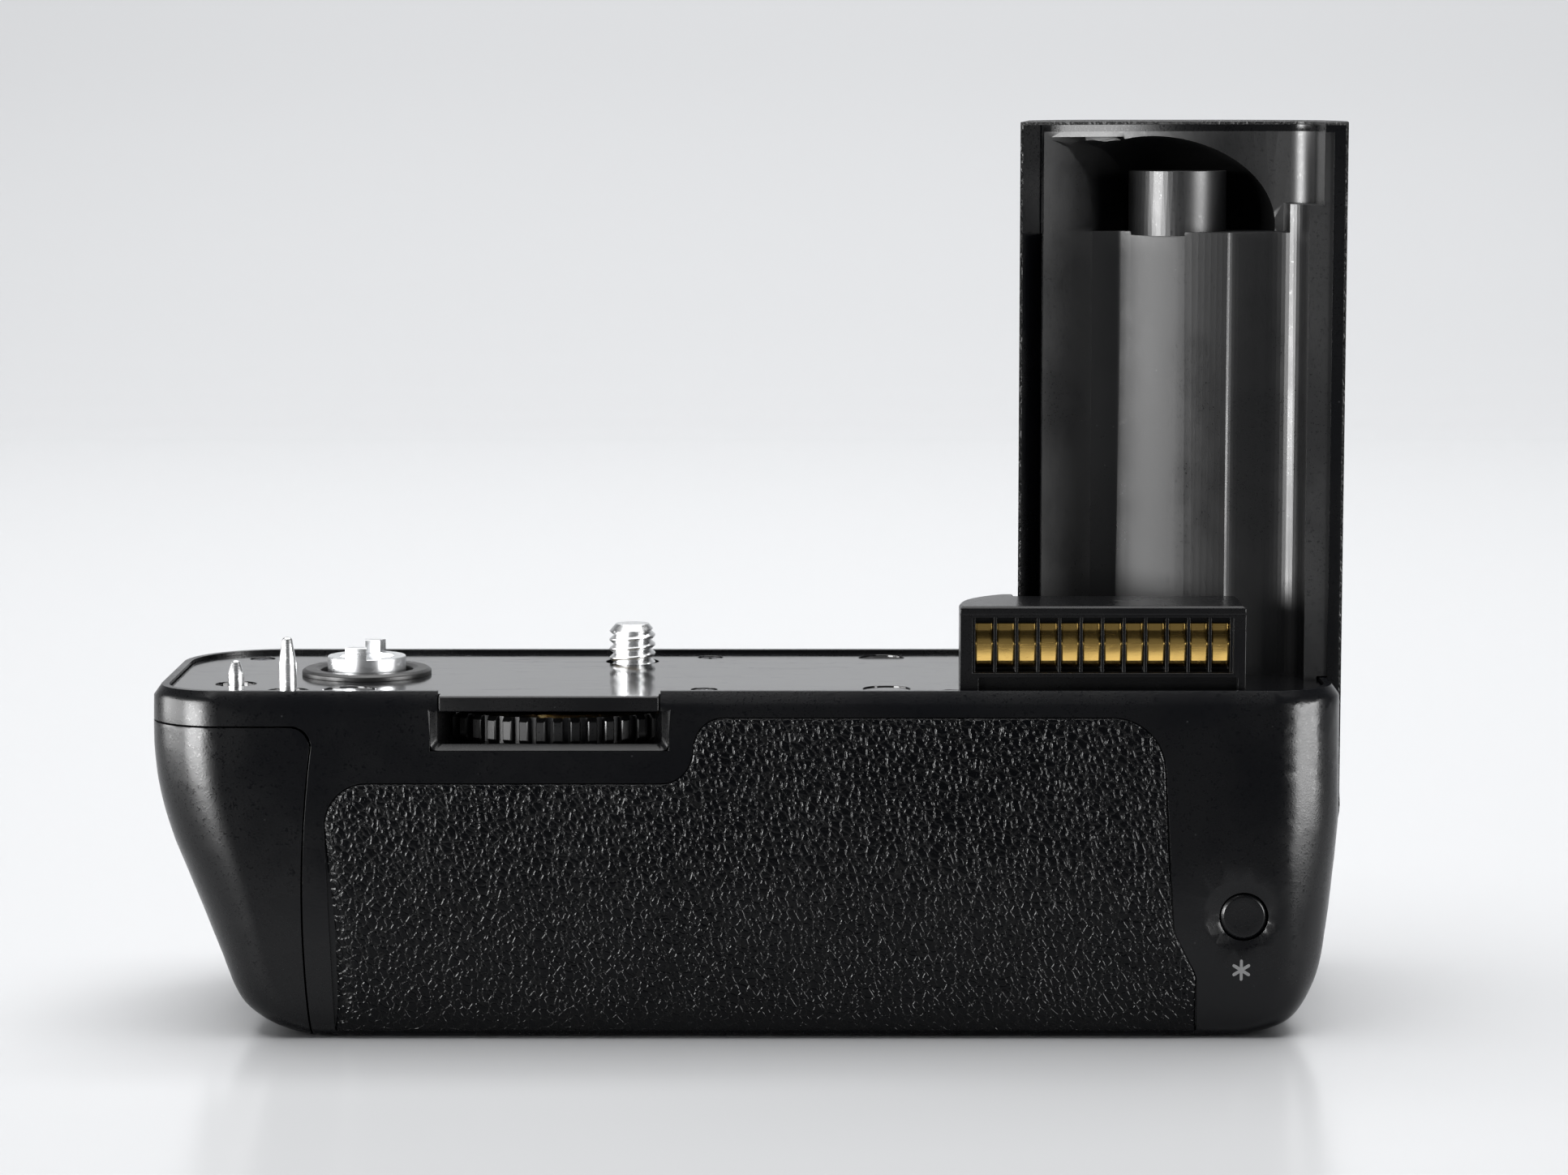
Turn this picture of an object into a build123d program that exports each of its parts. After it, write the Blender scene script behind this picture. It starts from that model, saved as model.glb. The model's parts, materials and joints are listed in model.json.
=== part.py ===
"""Power booster that screws under a single-lens reflex camera, with a battery magazine,
a film-drive coupler, a contact block and a hand-grip tower.

Frame, in millimetres: the origin is on the tripod socket's axis in the base plane, +X runs
along the body towards the tower, +Y away from the photographer and +Z up, towards the camera.
"""

import math
import os

from build123d import *

# Body: horizontal outlines from the base up, as
# (height, left X, right X, rear Y, front Y, rear corner radius, front corner radius)
BODY_STATIONS = (
    (0.0, -41.8, 81.6, -33.8, 12.0, 5.0, 8.0),
    (0.8, -45.8, 86.1, -35.0, 13.4, 6.0, 9.2),
    (3.0, -49.6, 89.7, -36.0, 14.6, 7.0, 10.4),
    (7.0, -53.5, 92.3, -36.4, 15.3, 7.9, 11.6),
    (13.0, -56.5, 93.5, -36.7, 15.6, 8.7, 12.6),
    (17.5, -58.0, 93.8, -36.8, 15.6, 9.1, 13.1),
    (22.0, -59.4, 93.9, -36.8, 15.4, 9.4, 13.5),
    (27.5, -60.9, 94.1, -36.5, 14.9, 9.6, 13.8),
    (33.0, -61.9, 94.2, -36.0, 14.0, 9.7, 14.0),
    (38.5, -62.3, 94.2, -35.4, 12.5, 9.7, 14.0),
    (44.3, -62.3, 94.2, -34.7, 10.6, 9.5, 14.0),
)
WALL = 2.2
LIP_TOP = 45.7
LIP_CHAMFER = 1.0
PLATE_TOP = 45.2
PLATE_THICK = 1.2
PLATE_UNDER = PLATE_TOP - PLATE_THICK
POCKET_INSET = 2.0
LEDGE_INSET = 4.2
LEDGE_THICK = 1.2

# Hand-grip tower and the column under it
TOWER_TOP = 119.3
TOWER_REAR = -19.5
TOWER_LEFT = 52.4
TOWER_RIGHT = 97.5
TOWER_FRONT = 28.5
TOWER_CORNER = 16.0
TOWER_WALL = 2.3
TOWER_LEAN = 2.6
LEAN_START = 26.0
SHELL_TOP = TOWER_TOP - 0.4
LINER_TOP = SHELL_TOP - 0.9
GROOVE_TUCK = 0.35
# Height above the base, and how far the column is drawn in there
COLUMN_STATIONS = (
    (0.5, 17.3),
    (1.3, 14.4),
    (3.4, 11.4),
    (7.5, 8.4),
    (13.0, 5.4),
    (18.5, 2.8),
    (24.0, 0.8),
    (29.5, 0.0),
)

# Line between the rear housing and the front cover, seen from above
SPLIT_FRONT = 4.0
SPLIT_X = 50.0
SPLIT_REAR = -20.5

# End cover of the battery magazine, seen from the rear
SEAM_Z = 41.0
SEAM_CORNER = 2.7
SEAM_X_TOP = -40.9
SEAM_X_MIDDLE = -42.1
SEAM_X_BASE = -41.0
SEAM_GAP = 0.25

# Thumbwheel and attachment screw
WHEEL_MODULE = 0.5
WHEEL_GEAR_TEETH = 36
SCREW_GEAR_TEETH = 24
WHEEL_DISTANCE = WHEEL_MODULE * (WHEEL_GEAR_TEETH + SCREW_GEAR_TEETH) / 2
WHEEL_BEARING = -125.2
WHEEL_X = WHEEL_DISTANCE * math.cos(math.radians(WHEEL_BEARING))
WHEEL_Y = WHEEL_DISTANCE * math.sin(math.radians(WHEEL_BEARING))
WHEEL_R = 20.5
WHEEL_TEETH = 56
WHEEL_TOOTH_DEPTH = 0.9
WHEEL_Z = 38.4
WHEEL_THICK = 3.5
WHEEL_CHAMFER = 0.45
WHEEL_RIM_R = WHEEL_R - 3.4
WHEEL_WEB_Z, WHEEL_WEB_THICK = WHEEL_Z + 1.0, 1.4
SCREW_R = 3.175
SCREW_TOP = 50.5
SCREW_RELIEF_R, SCREW_RELIEF_TOP = 2.85, 45.35
UPPER_GEAR_Z = 42.2
UPPER_GEAR_THICK = 1.7
SCREW_SHOULDER_Z = UPPER_GEAR_Z + UPPER_GEAR_THICK
SCREW_LEAD = 1.3

# Drive train of the film coupler
COUPLER_X, COUPLER_Y = -35.4, -12.8
MOTOR_X, MOTOR_Y = -30.0, 5.4
DRIVE_MODULE = 0.5
DRIVE_TEETH = 36
IDLER_PINION_TEETH = 12
IDLER_TEETH = 32
MOTOR_TEETH = 10
LOWER_GEAR_Z = 34.9
LOWER_GEAR_THICK = 1.5
MIDDLE_GEAR_Z = 36.7
MIDDLE_GEAR_THICK = 1.4
CHASSIS_Z = 33.7
CHASSIS_THICK = 1.0
DOG_R = 5.25
DOG_RIM_TOP = 47.7
DOG_LUG_TOP = 49.3
COLLAR_R = 8.7
COLLAR_BORE = 6.2

# Battery magazine
CELL_R = 7.1
CELL_LENGTH = 49.5
CELL_PITCH = 15.2
CELL_STARTS = (-38.2, 14.9)
BAY_Y, BAY_Z = -17.5, 18.0
MAGAZINE_WIDTH = 29.8
MAGAZINE_HEIGHT = 30.2
MAGAZINE_CORNER = 7.2
MAGAZINE_LEFT, MAGAZINE_RIGHT = -42.6, 68.0
BULKHEAD_THICK = 1.4
KEY_Y, KEY_Z = -11.0, 21.0
KEY_FLOOR_X = -56.6
KEY_R = 7.0

# Contact block for the camera's electronics
BLOCK_LEFT, BLOCK_RIGHT = 43.9, 81.2
BLOCK_FRONT, BLOCK_BACK = -31.95, -17.6
BLOCK_TOP = 56.6
CONTACT_COUNT = 12
CONTACT_PITCH = 2.81
CONTACT_WIDTH = 2.25
CONTACT_FIRST = 47.1

# Rear control and the controls for upright shooting
STAR_X, STAR_Z = 80.9, 16.3
STAR_R = 3.07
STAR_FACE_Y = -36.2
FACET_DEPTH = 2.4
SHUTTER_Z = 20.0
SHUTTER_R = 4.4
DIAL_Z = 36.0
DIAL_R = 9.0
DIAL_WIDTH = 5.0
DIAL_TEETH = 36
SWITCH_X, SWITCH_Z = 72.0, 30.0
SWITCH_R = 5.0

# Guide pins: (x, y, radius, straight height, full height above the plate)
SHORT_PIN = (-51.8, -23.1, 1.075, 1.6, 3.2)
TALL_PIN = (-44.2, -29.5, 1.15, 3.8, 7.1)
PLATE_SCREWS = ((10.7, 4.2), (10.4, -28.4), (-51.3, 2.7), (43.0, -30.3))
BASE_SCREWS = ((-31.0, -25.0), (-31.0, 2.0), (24.0, -25.0), (24.0, 2.0), (73.0, -25.0), (73.0, 2.0))
PIN_FOOT, PIN_SPIGOT_R = 41.7, 1.5
PIN_SEAT, PIN_FLANGE_R, PIN_FLANGE_THICK, PIN_RECESS_R = PLATE_TOP - 0.4, 2.5, 0.5, 2.7
SOCKET_R = 2.6
SOCKET_LENGTH = 5.6
SOCKET_FLANGE_R = 5.5

# Top plate: shallow round marks (x, y, radius), and the wheel's window and bar
PLATE_DIMPLES = ((-36.2, -28.6, 3.45), (34.4, -27.85, 3.15), (34.4, 3.8, 3.15))
WINDOW_LEFT, WINDOW_RIGHT, WINDOW_BASE, WINDOW_TOP = -25.2, 5.9, 38.0, 43.2
BAR_LEFT, BAR_RIGHT, BAR_REAR, BAR_UNDER = -24.0, 4.6, -35.2, 43.2
COLLAR_BODY_R = 7.0

# Base plate, inner bay and rear leather
BASE_LEFT, BASE_RIGHT, BASE_REAR, BASE_FRONT = -37.0, 78.0, -30.0, 8.0
BASE_THICK = 1.2
BAY_LEFT = -38.8
BAY_END = 69.5
BAY_FRONT = -1.9
LEATHER_PROUD = 0.2
LEATHER_SUNK = 0.5
# Leather corners seen from the rear: ((x, z), corner radius)
LEATHER_CORNERS = (
    ((-37.9, 1.0), 0.0),
    ((-39.2, 33.9), 5.5),
    ((8.3, 33.9), 4.0),
    ((9.6, 42.4), 4.0),
    ((70.3, 42.4), 7.0),
    ((71.8, 14.5), 4.0),
    ((74.8, 8.5), 3.0),
    ((74.9, 1.0), 0.0),
)
SCOOP_R = 14.0
SCOOP_DEPTH = 0.9

# Grip: leather round the outside, liner inside
LEATHER_THICK = 0.4
SIDE_LEATHER_BASE, SIDE_LEATHER_FRONT = 21.0, 6.0
FRONT_LEATHER_BASE = 50.0
LINER_BASE = PLATE_TOP
LINER_REAR, LINER_BACK, LINER_RIGHT = -19.1, -3.6, 92.0
TROUGH_TOP = 104.6
TROUGH_LEFT, TROUGH_MIDDLE, TROUGH_BOW, RIDGE = (62.5, -6.3), (65.9, -6.3), (73.8, -11.4), (79.5, -19.0)
HALF_ROUND_DEEP, HALF_ROUND_RIGHT = (84.9, -13.6), (90.3, -19.0)
UPPER_LEFT, UPPER_SWEEP = (56.45, -14.5), (66.5, -8.6)
UPPER_BACK, UPPER_BOW, UPPER_RIGHT = (89.1, -6.3), (91.2, -7.3), (92.2, -9.4)
RIB_LEFT, RIB_TOP = 88.3, 108.4
CAVITY_MIDDLE, CAVITY_LONG, CAVITY_R, CAVITY_BACK = (70.0, -6.5, 105.4), 17.2, 12.0, 8.2
HOLLOW_MIDDLE = (64.0, -9.0, 105.4)
HORN_BACK, HORN_INNER, HORN_RIGHT, HORN_TOP = (61.5, -6.5), (66.5, -3.5), (66.5, -8.6), 117.3
FLANK_MIDDLE, FLANK_R, FLANK_DRIFT = (5.4, 105.35), 11.6, (0.47, 0.88, 0)
BOSS_X, BOSS_Y, BOSS_R, BOSS_TOP = 74.0, -5.5, 6.55, 112.7

# Contact block details
BLOCK_STEP_Y = -19.8
COVER_THICK = 1.1
SLOT_BASE, SLOT_TOP, SLOT_BACK = 47.8, 55.1, -28.6
BLOCK_SILL = 47.2

# Shafts and seats of the mechanism
WHEEL_AXLE_R, WHEEL_HUB_R, SCREW_SEAT_R = 1.5, 4.0, 2.6
IDLER_AXLE_R = 1.0
DRIVE_JOURNAL_R, DRIVE_SHAFT_R, DOG_STEM_R, DOG_INNER_R = 1.9, 2.5, 1.5, 3.5
MOTOR_R, MOTOR_SHAFT_R, MOTOR_BASE = 5.75, 0.75, 9.0
CHASSIS_LEFT, CHASSIS_RIGHT = -46.0, 18.0

# Magazine details
CELL_NUB = 0.9
FRAME_WALLS = ((-42.6, -38.7), (12.5, 14.6), (65.6, 68.0))
CONTACT_PLATES_X = (-38.6, 65.3)
COVER_POSTS = ((-27.0, 27.0), (-27.0, 9.0))
KEY_SHAFT_R = 1.6
TONGUE_X = -44.6

# Details of the controls
FACET_PAD, FACET_WIDTH = 3.0, 15.0
DIAL_PROUD, DIAL_AXLE_R = 2.0, 1.0
SHUTTER_PROUD = 0.9
SWITCH_FACE_Y, SWITCH_SINK, SWITCH_SHAFT_R = 28.2, 1.2, 1.5
STAR_BOARD_Y = -31.2
BOARD_LEFT, BOARD_RIGHT, BOARD_Y, BOARD_THICK = -16.0, 46.0, 9.6, 1.2
BOARD_POSTS_X, BOARD_POST_Z = (-10.0, 40.0), 20.0

RUNNING = 0.05
os.makedirs("parts", exist_ok=True)


def block(x0, x1, y0, y1, z0, z1):
    """A plain box between two corners, used to trim and to make room."""
    with BuildPart() as made:
        with Locations(((x0 + x1) / 2, (y0 + y1) / 2, (z0 + z1) / 2)):
            Box(x1 - x0, y1 - y0, z1 - z0)
    return made.part


def rod(plane, radius, length):
    """A plain cylinder that starts on a plane and rises along its normal."""
    with BuildPart() as made:
        with BuildSketch(plane):
            Circle(radius)
        extrude(amount=length)
    return made.part


def turned(points, x=0.0, y=0.0):
    """A body turned about a vertical axis from (radius, height) points."""
    with BuildPart() as made:
        with BuildSketch(Plane.XZ):
            with BuildLine():
                Polyline(*points, close=True)
            make_face()
        revolve(axis=Axis.Z)
    return made.part.moved(Location((x, y, 0)))


def body_outline(station, inset):
    """One horizontal outline of the body, drawn in by inset."""
    height, left, right, rear, front, rear_radius, front_radius = station
    left, right, rear, front = left + inset, right - inset, rear + inset, front - inset
    rear_r, front_r = max(rear_radius - inset, 1.0), max(front_radius - inset, 1.0)
    with BuildSketch(Plane.XY.offset(height)) as outline:
        with BuildLine():
            Line((left + front_r, front), (right - front_r, front))
            RadiusArc((right - front_r, front), (right, front - front_r), front_r)
            Line((right, front - front_r), (right, rear + rear_r))
            RadiusArc((right, rear + rear_r), (right - rear_r, rear), rear_r)
            Line((right - rear_r, rear), (left + rear_r, rear))
            RadiusArc((left + rear_r, rear), (left, rear + rear_r), rear_r)
            Line((left, rear + rear_r), (left, front - front_r))
            RadiusArc((left, front - front_r), (left + front_r, front), front_r)
        make_face()
    return outline.sketch


def body_form(inset):
    """The body's outer form up to the lip, drawn in by inset all round."""
    with BuildPart() as form:
        for station in BODY_STATIONS:
            add(body_outline(station, inset))
        loft()
    return form.part


def top_outline(height, inset):
    """The body's top outline at any height, drawn in by inset."""
    return body_outline((height, *BODY_STATIONS[-1][1:]), inset)


def top_slab(inset, z0, z1):
    """The body's top outline, drawn in by inset, as an upright slab between two heights."""
    with BuildPart() as slab:
        add(top_outline(z0, inset))
        extrude(amount=z1 - z0)
    return slab.part


def lip_form():
    """The chamfered lip that rises above the body round the top plate."""
    with BuildPart() as lip:
        add(top_outline(BODY_STATIONS[-1][0], 0.0))
        add(top_outline(LIP_TOP, LIP_CHAMFER))
        loft(ruled=True)
    return lip.part


def tower_outline(plane, inset, tuck, rear):
    """The grip's outline from above, with a finger groove at the left and a bowed right side."""
    left, right = TOWER_LEFT + inset + GROOVE_TUCK * tuck, TOWER_RIGHT - inset - tuck
    front = TOWER_FRONT - inset - tuck
    narrow = (right - left) / (TOWER_RIGHT - TOWER_LEFT)
    shallow = (front - TOWER_REAR) / (TOWER_FRONT - TOWER_REAR)
    shrink = min(narrow, shallow)
    groove = (left + 3.0 * narrow, front - 14.0 * shallow)
    nose = (left + 9.0 * narrow, front - shallow)
    corner = (right - 3.0 * narrow, front)
    bulge = (right, front - LEAN_START * shallow)
    with BuildSketch(plane) as outline:
        with BuildLine():
            Polyline(
                (left, rear), groove, nose, corner, bulge, (right - TOWER_LEAN * narrow, rear), close=True
            )
        make_face()
        for point, radius in ((groove, 9.0), (nose, 9.0), (corner, TOWER_CORNER), (bulge, 55.0)):
            fillet(outline.vertices().sort_by_distance(point)[0], radius * shrink)
    return outline.sketch


def column_form(inset, rear, top):
    """The grip column from the base, where it is tucked in, straight up to the tower's top."""
    with BuildPart() as column:
        for height, tuck in COLUMN_STATIONS:
            add(tower_outline(Plane.XY.offset(height), inset, tuck, rear))
        loft()
        last = COLUMN_STATIONS[-1][0]
        add(tower_outline(Plane.XY.offset(last), inset, 0.0, rear))
        extrude(amount=top - last)
    return column.part


def open_space(points, base, top):
    """An upright space between two heights; a Vector among the points is the middle of an arc."""
    with BuildPart() as space:
        with BuildSketch(Plane.XY.offset(base)):
            with BuildLine():
                for start, via, end in zip(points, points[1:] + points[:1], points[2:] + points[:2]):
                    if isinstance(via, Vector):
                        ThreePointArc(start, via, end)
                    elif not isinstance(start, Vector):
                        Line(start, via)
            make_face()
        extrude(amount=top - base)
    return space.part


def end_region(gap):
    """Everything on the magazine's side of the seam, set back from it by gap."""
    with BuildPart() as region:
        with BuildSketch(Plane.XZ.offset(60)):
            with BuildLine():
                Polyline(
                    (SEAM_X_BASE - gap, -1),
                    (-80, -1),
                    (-80, SEAM_Z - gap),
                    (SEAM_X_TOP - gap - SEAM_CORNER, SEAM_Z - gap),
                )
                JernArc(
                    start=(SEAM_X_TOP - gap - SEAM_CORNER, SEAM_Z - gap),
                    tangent=(1, 0),
                    radius=SEAM_CORNER,
                    arc_size=-90,
                )
                ThreePointArc(
                    (SEAM_X_TOP - gap, SEAM_Z - gap - SEAM_CORNER),
                    (SEAM_X_MIDDLE - gap, 18.0),
                    (SEAM_X_BASE - gap, -1),
                )
            make_face()
        extrude(amount=-120)
    return region.part


def gear_outline(plane, module, teeth, phase):
    """A toothed outline: straight-flanked teeth, thinned a little for running clearance."""
    pitch_r = module * teeth / 2
    tip_r, root_r = pitch_r + 0.8 * module, pitch_r - 1.2 * module
    points = []
    for tooth in range(teeth):
        middle = math.radians(phase) + 2 * math.pi * tooth / teeth
        for radius, half in ((root_r, -0.95), (tip_r, -0.34), (tip_r, 0.34), (root_r, 0.95)):
            turn = middle + half * module / radius
            points.append((radius * math.cos(turn), radius * math.sin(turn)))
    with BuildSketch(plane) as outline:
        with BuildLine():
            Polyline(*points, close=True)
        make_face()
    return outline.sketch


def gear(x, y, z, thick, teeth, phase, bore):
    """A spur gear about a vertical axis."""
    with BuildPart() as made:
        add(gear_outline(Plane((x, y, z)), DRIVE_MODULE, teeth, phase))
        extrude(amount=thick)
        if bore:
            with BuildSketch(Plane((x, y, z))):
                Circle(bore)
            extrude(amount=thick, mode=Mode.SUBTRACT)
    return made.part


def bearing_to(x0, y0, x1, y1):
    """Direction from one axis to another, in degrees."""
    return math.degrees(math.atan2(y1 - y0, x1 - x0))


def idler_axis():
    """The idler's axis, in mesh with the coupler's gear and with the motor's pinion."""
    to_drive = DRIVE_MODULE * (DRIVE_TEETH + IDLER_PINION_TEETH) / 2
    to_motor = DRIVE_MODULE * (IDLER_TEETH + MOTOR_TEETH) / 2
    dx, dy = MOTOR_X - COUPLER_X, MOTOR_Y - COUPLER_Y
    span = math.hypot(dx, dy)
    along = (to_drive**2 - to_motor**2 + span**2) / (2 * span)
    aside = math.sqrt(to_drive**2 - along**2)
    return (
        COUPLER_X + (along * dx + aside * dy) / span,
        COUPLER_Y + (along * dy - aside * dx) / span,
    )


def save(part, name):
    """Labels a finished piece and writes it."""
    part.label = name
    export_step(part, f"parts/{name}.step")


IDLER_X, IDLER_Y = idler_axis()
MAIN_REGION_POINTS = (
    (-90, -70),
    (130, -70),
    (130, SPLIT_REAR),
    (SPLIT_X, SPLIT_REAR),
    (SPLIT_X, SPLIT_FRONT),
    (-90, SPLIT_FRONT),
)
FACET_CENTRE = (TOWER_RIGHT - TOWER_CORNER, TOWER_FRONT - TOWER_CORNER)
FACET_OUT = (TOWER_CORNER - FACET_DEPTH) / math.sqrt(2)
FACET_PLANE = Plane(
    origin=(FACET_CENTRE[0] + FACET_OUT, FACET_CENTRE[1] + FACET_OUT, SHUTTER_Z),
    x_dir=(-1, 1, 0),
    z_dir=(1, 1, 0),
)

CONTROL_MIDDLE = (DIAL_Z - SHUTTER_Z) / 2
DIAL_CENTRE = FACET_PLANE.from_local_coords(Vector(0, DIAL_Z - SHUTTER_Z, DIAL_PROUD - DIAL_R))
DIAL_PLANE = Plane(origin=DIAL_CENTRE, x_dir=(0, 0, 1), z_dir=(-1, 1, 0))
SWITCH_PLANE = Plane(origin=(SWITCH_X, SWITCH_FACE_Y, SWITCH_Z), x_dir=(-1, 0, 0), z_dir=(0, 1, 0))

# Shells: one hollow form, divided into the rear housing and the front cover
body = body_form(0.0)
column = column_form(0.0, TOWER_REAR, SHELL_TOP)
main_region = extrude(
    make_face(Polyline(*MAIN_REGION_POINTS, close=True)).moved(Location((0, 0, -5))), amount=200
)
right_of_seam = block(BAY_LEFT, 130, -70, 70, 0, 60)
column_room_low = column_form(TOWER_WALL, TOWER_REAR + TOWER_WALL, PLATE_UNDER) & block(
    -90, 130, -70, 70, WALL, PLATE_UNDER
)
column_room_high = column_form(TOWER_WALL, TOWER_REAR - 6, LINER_TOP) & block(
    -90, 130, -70, 70, PLATE_TOP, 130
)

with BuildPart() as hollow:
    add(body_form(WALL) & block(BAY_LEFT, 130, -70, 70, WALL, PLATE_UNDER - LEDGE_THICK))
    add(top_slab(LEDGE_INSET, 40.0, PLATE_UNDER) & right_of_seam)
    add(top_slab(POCKET_INSET, PLATE_UNDER, LIP_TOP + 1))

with BuildPart() as slab:
    add(body)
    add(lip_form())
    add(end_region(-SEAM_GAP), mode=Mode.SUBTRACT)

# Rear leather sheet and the shallow place it lies in
with BuildPart() as leather_region:
    with BuildSketch(Plane.XZ.offset(60)) as leather_outline:
        with BuildLine():
            Polyline(*(point for point, _ in LEATHER_CORNERS), close=True)
        make_face()
        for point, radius in LEATHER_CORNERS:
            if radius:
                fillet(leather_outline.vertices().sort_by_distance(point)[0], radius)
    extrude(amount=-40)

with BuildPart() as rear_leather:
    add(body_form(-LEATHER_PROUD))
    add(leather_region.part, mode=Mode.INTERSECT)
    add(body_form(LEATHER_SUNK), mode=Mode.SUBTRACT)
save(rear_leather.part, "rear_leather")

# Guide pins: a flange in the plate, a spigot below it and a tapered tip
pins = []
for pin_name, pin_sizes in (("short_guide_pin", SHORT_PIN), ("tall_guide_pin", TALL_PIN)):
    x, y, radius, straight, height = pin_sizes
    tip = 0.55 * radius
    pin = turned(
        [
            (0, PIN_FOOT),
            (PIN_SPIGOT_R, PIN_FOOT),
            (PIN_SPIGOT_R, PIN_SEAT - PIN_FLANGE_THICK),
            (PIN_FLANGE_R, PIN_SEAT - PIN_FLANGE_THICK),
            (PIN_FLANGE_R, PIN_SEAT),
            (radius, PIN_SEAT),
            (radius, PLATE_TOP + straight),
            (tip + 0.15, PLATE_TOP + height - 0.45),
            (tip - 0.1, PLATE_TOP + height),
            (0, PLATE_TOP + height),
        ],
        x,
        y,
    )
    pins.append(pin)
    save(pin, pin_name)

# Countersunk screws of the top plate and of the base plate
with BuildPart() as plate_screws:
    for x, y in PLATE_SCREWS:
        add(
            turned(
                [(0, 41.0), (0.8, 41.0), (0.8, 44.3), (1.6, 45.05), (1.6, 45.15), (0, 45.15)], x, y
            )
        )
save(plate_screws.part, "plate_screws")

with BuildPart() as base_screws:
    for x, y in BASE_SCREWS:
        add(turned([(0, 0.1), (2.0, 0.1), (2.0, 0.25), (1.1, 1.0), (1.1, WALL), (0, WALL)], x, y))
save(base_screws.part, "base_screws")

# Threaded insert for the tripod, with a flange above the base plate
with BuildPart() as tripod_socket:
    add(
        turned(
            [
                (SOCKET_R, 0),
                (4.0, 0),
                (4.0, BASE_THICK),
                (SOCKET_FLANGE_R, BASE_THICK),
                (SOCKET_FLANGE_R, WALL),
                (4.0, WALL),
                (4.0, SOCKET_LENGTH),
                (SOCKET_R, SOCKET_LENGTH),
            ]
        )
    )
save(tripod_socket.part, "tripod_socket")

# Flat base plate in its place in the floor
with BuildPart() as base_room:
    with BuildSketch():
        with Locations(((BASE_LEFT + BASE_RIGHT) / 2, (BASE_REAR + BASE_FRONT) / 2)):
            RectangleRounded(BASE_RIGHT - BASE_LEFT, BASE_FRONT - BASE_REAR, 6.0)
    extrude(amount=BASE_THICK)

with BuildPart() as base_plate:
    add(base_room.part)
    add(rod(Plane.XY, 4.0, BASE_THICK), mode=Mode.SUBTRACT)
    add(base_screws.part, mode=Mode.SUBTRACT)
save(base_plate.part, "base_plate")

# Bush and collar of the coupler, seated in the plate
collar = turned(
    [
        (2.5 + RUNNING, 42.4),
        (COLLAR_BODY_R, 42.4),
        (COLLAR_BODY_R, PLATE_TOP),
        (COLLAR_R, PLATE_TOP),
        (COLLAR_R, PLATE_TOP + 0.6),
        (COLLAR_R - 0.35, PLATE_TOP + 0.9),
        (COLLAR_BORE, PLATE_TOP + 0.9),
        (COLLAR_BORE, 43.4),
        (2.5 + RUNNING, 43.4),
    ],
    COUPLER_X,
    COUPLER_Y,
)
save(collar, "coupler_collar")

# Top plate with its bar over the thumbwheel
with BuildPart() as top_plate:
    add(top_slab(POCKET_INSET + 0.1, PLATE_UNDER, PLATE_TOP))
    add(block(BAR_LEFT, BAR_RIGHT, BAR_REAR, -32.0, BAR_UNDER, PLATE_TOP))
    add(block(BAR_LEFT, BAR_RIGHT, -32.6, -30.0, BAR_UNDER, PLATE_UNDER), mode=Mode.SUBTRACT)
    add(rod(Plane((COUPLER_X, COUPLER_Y, 40)), COLLAR_BODY_R, 10), mode=Mode.SUBTRACT)
    add(rod(Plane((0, 0, 40)), SCREW_R + RUNNING, 10), mode=Mode.SUBTRACT)
    add(rod(Plane((0, 0, PLATE_TOP - 0.6)), 3.65, 10), mode=Mode.SUBTRACT)
    for x, y, _, _, _ in (SHORT_PIN, TALL_PIN):
        add(rod(Plane((x, y, PIN_SEAT)), PIN_RECESS_R, 2), mode=Mode.SUBTRACT)
    for pin in pins:
        add(pin, mode=Mode.SUBTRACT)
    for x, y, radius in PLATE_DIMPLES:
        add(rod(Plane((x, y, PLATE_TOP - 0.3)), radius, 2), mode=Mode.SUBTRACT)
    add(plate_screws.part, mode=Mode.SUBTRACT)
save(top_plate.part, "top_plate")

# Rear housing
with BuildPart() as mouth:
    with BuildSketch(Plane.YZ.offset(-46)):
        with Locations((BAY_Y, BAY_Z)):
            RectangleRounded(MAGAZINE_WIDTH + 0.8, MAGAZINE_HEIGHT + 0.8, MAGAZINE_CORNER + 0.4)
    extrude(amount=7.4)

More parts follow.
